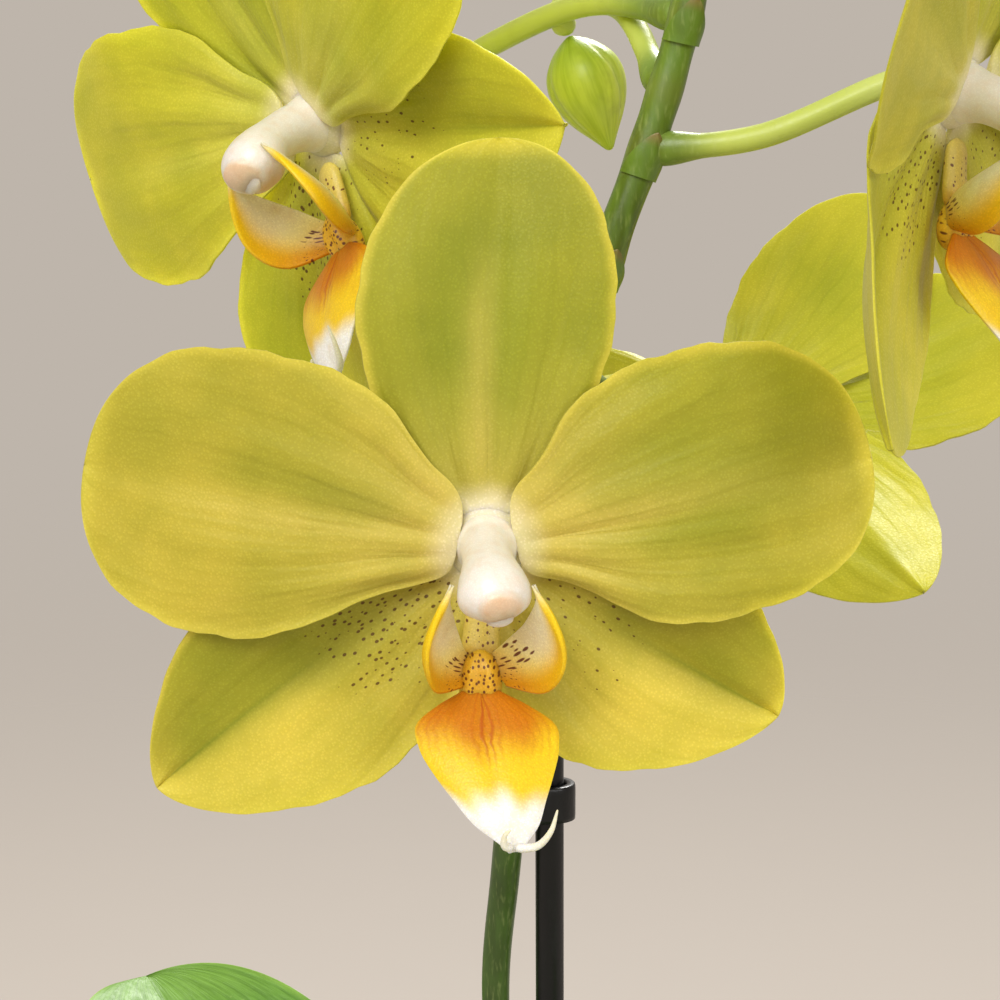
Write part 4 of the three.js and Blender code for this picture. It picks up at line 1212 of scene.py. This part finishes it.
def leaf_surface(leaf):
    rise = math.radians(leaf["rise"])
    bend = rise - math.radians(leaf["end"])

    def surface(s, v):
        slope = rise - bend * s
        out = leaf["length"] / bend * (math.sin(rise) - np.sin(slope))
        up = leaf["length"] / bend * (np.cos(slope) - math.cos(rise))
        base = lerp(LEAF_BASE_HALF, 0.3, s)
        wide = base + (leaf["half"] - base) * outline_share(LEAF_OUTLINE, s)
        fold = lerp(0.5, 0.28, np.minimum(1, 2 * s))
        lift = wide * fold * np.abs(v)**1.4
        lift = lift - 0.7 * bell(v * wide, 1.6) * smooth(1, 0.85, s)
        lift = lift + 0.8 * np.sin(2 * np.pi * (1.3 * s + leaf["heading"] / 90)) * v * np.abs(v)
        reach = LEAF_START + out - lift * np.sin(slope)
        height = leaf["foot"] + up + lift * np.cos(slope)
        aside = v * wide * np.sqrt(1 - fold**2 * 0.6)
        return turned(reach, aside, height, math.radians(leaf["heading"])) + CROWN_AT

    return surface


def leaf_marks(leaf):
    def marks(s, v, side):
        rib = bell(v, 0.05) * smooth(1, 0.8, s)
        edge = smooth(0.93, 1, np.abs(v))
        if side > 0:
            tone = blend(
                LEAF_GREEN, LEAF_DARK, 0.55 * bell(v, 0.4) * smooth(1, 0.5, s),
                LEAF_LIGHT, 0.5 * smooth(0.7, 1, s) + 0.4 * edge + 0.25 * rib)
        else:
            tone = blend(LEAF_UNDER, LEAF_LIGHT, 0.5 * rib + 0.3 * edge)
        place = np.stack([s * leaf["length"], v * leaf["half"], np.full_like(s, leaf["heading"])], -1)
        return dict(tone=tone, place=place)

    return marks


def leaf_thickness(s, v):
    return lerp(2.4, 1.6, s) * (1 - 0.62 * np.abs(v)**4) + 0.9 * bell(v, 0.12) * (1 - s)


def build_leaves():
    for number, leaf in enumerate(LEAVES, 1):
        shape = sheet(leaf_surface(leaf), *LEAF_GRID, leaf_thickness, leaf_marks(leaf))
        add_piece(f"leaf_{number}", shape, "leaf")


# The crown: the short stem, wrapped in the sheaths of old and present leaves.
CROWN_PROFILE = [[0, 66], [5, 66], [9, 84], [9, 98], [6.5, 112], [3, 122], [0, 122]]
CROWN_GREEN = srgb(104, 132, 62)
CROWN_BROWN = srgb(120, 96, 62)


def build_crown():
    def wobble(height, angle):
        sheath = np.abs(((height - 66) / 7 + 0.5 * np.cos(angle - 0.9)) % 1 - 0.5) * 2
        return 1 + 0.07 * (sheath - 0.6) + 0.04 * np.cos(2 * (angle - 2.4))

    crown = lathe(divided(rounded(CROWN_PROFILE, 4, 6), lambda length: 4), 72, wobble)
    crown.mark("tone", blend(CROWN_GREEN, CROWN_BROWN, smooth(98, 84, crown.points[:, 2]) * 0.8))
    crown.points = crown.points + CROWN_AT
    add_piece("crown", crown, "stem")


# Roots
ROOT_RADIUS = 2.6
ROOTS = [
    [[-11, -2, 96], [-34, -9, 108], [-58, -15, 119], [-71, -18, 113], [-75, -19, 92], [-73, -18, 74]],
    [[-7, -6, 94], [-11, -20, 103], [-16, -34, 103], [-20, -42, 92], [-21, -44, 80]],
    [[4, 2, 94], [20, 7, 105], [33, 14, 108], [42, 23, 100], [45, 28, 84]],
]
ROOT_GREY = srgb(176, 180, 158)
ROOT_GREEN = srgb(122, 142, 72)


def build_roots():
    def profile(s, turn):
        return 1 + 0.05 * np.sin(23 * s + 2 * np.sin(2 * np.pi * turn)) + 0.03 * np.sin(61 * s)

    for number, path in enumerate(ROOTS, 1):
        root = tube(Line(path), lambda s: ROOT_RADIUS * (1 - 0.2 * s), 120, 28, profile=profile)
        tip = 0.85 * smooth(0.86, 0.97, root.marks["s"]) * (number == 1)
        root.mark("tone", blend(ROOT_GREY, ROOT_GREEN, 0.15 + tip))
        add_piece(f"root_{number}", root, "root")


# Bark: rough chips on a bed that fills the pot. A chip's sides lie between smallest and largest,
# tilts are how far it may lean both ways, and lift is how high it may lie over the bed.
BARK_TONES = [srgb(138, 94, 62), srgb(108, 72, 48), srgb(164, 118, 78), srgb(84, 56, 40)]
BARK_SEED = 7
SET_CHIP = dict(
    smallest=(15, 9, 6), largest=(23, 14, 9), tilts=(0.5, 0.7), lift=(0.8, 2.2), rough=0.16)
LOOSE_CHIP = dict(
    smallest=(5, 3, 2.5), largest=(12, 8, 5), tilts=(1.2, 1.2), lift=(0.6, 2.2), rough=0.22)
LOOSE_COUNT = 150
LOOSE_TURN = 2.4
LOOSE_REACH = 54
CHIP_STEPS = (10, 7, 4)


def pot_outside(z):
    return lerp(POT_FOOT_RADIUS, POT_RIM_RADIUS - RIM_PROUD, z / (POT_HEIGHT - RIM_BAND))


def pot_inside(z):
    return min(pot_outside(z), POT_RIM_RADIUS - RIM_PROUD) - POT_WALL


def seeded(seed):
    """A small seeded generator that gives the same scatter as the solids."""
    while True:
        seed = (seed * 1664525 + 1013904223) % 4294967296
        yield seed / 4294967296


def chip_shape(size, turn, centre, tone, rough):
    """A block with worn edges and split, layered sides."""
    numbers = {}
    points, faces = [], []

    def corner(i, j, k):
        if (i, j, k) not in numbers:
            numbers[i, j, k] = len(points)
            at = [2 * n / m - 1 for n, m in zip((i, j, k), CHIP_STEPS)]
            push = Vector(at) / (abs(at[0])**5 + abs(at[1])**5 + abs(at[2])**5)**0.2
            offset = rough * noise.noise(push * 1.7 + Vector(centre))
            layer = 0.06 * math.sin(9 * push[2] + 3 * push[0] + centre[0])
            points.append([
                push[0] * (1 + offset + layer) * size[0] / 2,
                push[1] * (1 + 1.3 * offset + layer) * size[1] / 2,
                push[2] * (1 + offset) * size[2] / 2])
        return numbers[i, j, k]

    for axis in range(3):
        a, b = [n for n in range(3) if n != axis]
        for end in (0, CHIP_STEPS[axis]):
            outward = (end > 0) == (axis != 1)
            for p, q in np.ndindex(CHIP_STEPS[a], CHIP_STEPS[b]):
                face = []
                for dp, dq in ((0, 0), (1, 0), (1, 1), (0, 1)):
                    where = [0, 0, 0]
                    where[axis], where[a], where[b] = end, p + dp, q + dq
                    face.append(corner(*where))
                faces.append(tuple(face if outward else face[::-1]))
    local, centre = np.array(points), np.array(centre)
    spin = np.array(Euler(turn, "XYZ").to_matrix())
    shape = Shape(local @ spin.T + centre, faces).mark("tone", [*tone, 1])
    return shape.mark("place", local + centre * [1, 1, 3])


def kept_inside(shape):
    """Bark that would reach through the pot lies against its wall."""
    limit = pot_inside(BARK_TOP) - 2 * GAP
    reach = np.hypot(shape.points[:, 0], shape.points[:, 1])
    shape.points[:, :2] *= np.minimum(1, limit / np.maximum(reach, 1e-6))[:, None]
    return shape


def bark_chip(random, angle, out, number, smallest, largest, tilts, lift, rough):
    """A chip at an angle and a distance from the pot's middle, its size and turn at random."""
    size = [lerp(low, high, next(random)) for low, high in zip(smallest, largest)]
    turn = [tilt * (next(random) - 0.5) for tilt in tilts] + [2 * math.pi * next(random)]
    bed = BARK_TOP + BARK_DOME * (1 - out / pot_inside(BARK_TOP))
    centre = (out * math.cos(angle), out * math.sin(angle), bed + lerp(*lift, next(random)))
    return kept_inside(chip_shape(size, turn, centre, BARK_TONES[number % 4], rough))


def build_bark():
    random = seeded(BARK_SEED)
    chips = []
    for radius, count in CHIP_RINGS:
        for i in range(count):
            angle = (i + 0.6 * next(random)) * 2 * math.pi / count
            out = radius + 3 * (next(random) - 0.5)
            chips.append(bark_chip(random, angle, out, len(chips), **SET_CHIP))
    for i in range(LOOSE_COUNT):
        out = LOOSE_REACH * math.sqrt((i + 0.5) / LOOSE_COUNT)
        chips.append(bark_chip(random, LOOSE_TURN * i, out, 3 * i, **LOOSE_CHIP))
    top = pot_inside(BARK_TOP) - 2 * GAP
    dome_points = [[top * (1 - k / 12), BARK_TOP + BARK_DOME * k / 12] for k in range(13)]
    foot = POT_FLOOR + GAP
    bed = lathe([[0, foot], [pot_inside(POT_FLOOR) - 2 * GAP, foot], *dome_points], 96)
    bed.mark("tone", [*BARK_TONES[3], 1]).mark("place", bed.points)
    add_piece("bark", joined([*chips, bed]), "bark")


# The pot: tapered, with a band round its rim and a flat foot.
GLAZE = srgb(236, 232, 222)
GLAZE_THIN = srgb(214, 200, 178)


def build_pot():
    shoulder = POT_HEIGHT - RIM_BAND
    profile = rounded([
        [0, 0], [POT_FOOT_RADIUS, 0], [pot_outside(shoulder), shoulder],
        [POT_RIM_RADIUS, shoulder + RIM_PROUD], [POT_RIM_RADIUS, POT_HEIGHT],
        [pot_inside(POT_HEIGHT), POT_HEIGHT], [pot_inside(shoulder), shoulder],
        [pot_inside(POT_FLOOR), POT_FLOOR], [0, POT_FLOOR]], 1.6, 6)
    pot = lathe(divided(profile, lambda length: max(1, int(length / 3))), 160)
    height, reach = pot.points[:, 2], np.hypot(pot.points[:, 0], pot.points[:, 1])
    lip = smooth(1.6, 0.2, POT_HEIGHT - height)
    foot = smooth(2.2, 0.4, height) * (reach > POT_FOOT_RADIUS - 3)
    pot.mark("tone", blend(GLAZE, GLAZE_THIN, 0.6 * lip + 0.8 * foot))
    add_piece("pot", pot, "pot")


# Studio. A light is a disk, and its beam is in degrees.
BACKDROP = srgb(190, 181, 171)
FLOOR_RADIUS = 2.4
FLOOR_RINGS = [0.25, 0.5, 1.0, 2.0, FLOOR_RADIUS]
FLOOR_SIDES = 96
FLOOR_GLOW = 0.72
FLOOR_SHARE = 0.42
LIGHT_AIM = (0, -0.02, 0.28)
LIGHTS = {
    "key": dict(at=(-0.7, -1.8, 1.7), size=1.6, power=44, colour=(1, 0.99, 0.97), beam=180),
    "fill": dict(at=(1.5, -1.6, 1.1), size=1.2, power=15, colour=(0.97, 0.98, 1), beam=180),
    "back": dict(at=(0.5, 1.5, 1.8), size=0.9, power=8, colour=(1, 0.99, 0.96), beam=60),
}


def build_floor():
    angle = circle(FLOOR_SIDES)
    points = [(0, 0, 0)] + [(r * math.cos(a), r * math.sin(a), 0) for r in FLOOR_RINGS for a in angle]
    faces = [(0, 1 + j, 1 + (j + 1) % FLOOR_SIDES) for j in range(FLOOR_SIDES)]
    faces += grid_faces(len(FLOOR_RINGS), FLOOR_SIDES, 1, closed=True)
    mesh = bpy.data.meshes.new("floor")
    mesh.from_pydata(points, [], faces)
    paint = Paint("floor", 0.9, Specular_IOR_Level=0.1, Emission_Color=(*BACKDROP, 1),
                  Emission_Strength=FLOOR_GLOW)
    distance = paint.node("ShaderNodeVectorMath", {0: paint.where}, operation="LENGTH").outputs["Value"]
    paint.join(paint.rise(distance, FLOOR_RADIUS * 0.95, 0.3), paint.shader.inputs["Alpha"])
    tone = BACKDROP * FLOOR_SHARE
    paint.colour = paint.mix(paint.noise(40, 3), tone * 0.97, tone)
    mesh.materials.append(paint.finish())
    add_object("floor", mesh)


def add_light(name, at, size, power, colour, beam):
    data = bpy.data.lights.new(name, "AREA")
    data.shape = "DISK"
    data.size, data.energy, data.color, data.spread = size, power, colour, math.radians(beam)
    light = add_object(name, data)
    light.location = at
    light.rotation_euler = (Vector(LIGHT_AIM) - Vector(at)).to_track_quat("-Z", "Y").to_euler()


def build_studio():
    build_floor()
    for name, light in LIGHTS.items():
        add_light(name, **light)
    world = bpy.data.worlds.new("studio")
    world.use_nodes = True
    world.node_tree.nodes["Background"].inputs["Color"].default_value = (*BACKDROP, 1)
    world.node_tree.nodes["Background"].inputs["Strength"].default_value = 1.0
    scene = bpy.context.scene
    scene.world = world
    scene.view_settings.view_transform = "Standard"
    data = bpy.data.cameras.new("camera")
    data.angle = math.radians(CAMERA_VIEW)
    data.clip_start = 0.01
    scene.camera = add_object("camera", data)
    scene.camera.location = Vector(CAMERA_AT) * MM
    scene.camera.rotation_euler = (math.radians(90 - CAMERA_DOWN), 0, 0)


build_flowers()
build_stem()
build_stake()
build_leaves()
build_crown()
build_roots()
build_bark()
build_pot()
build_studio()
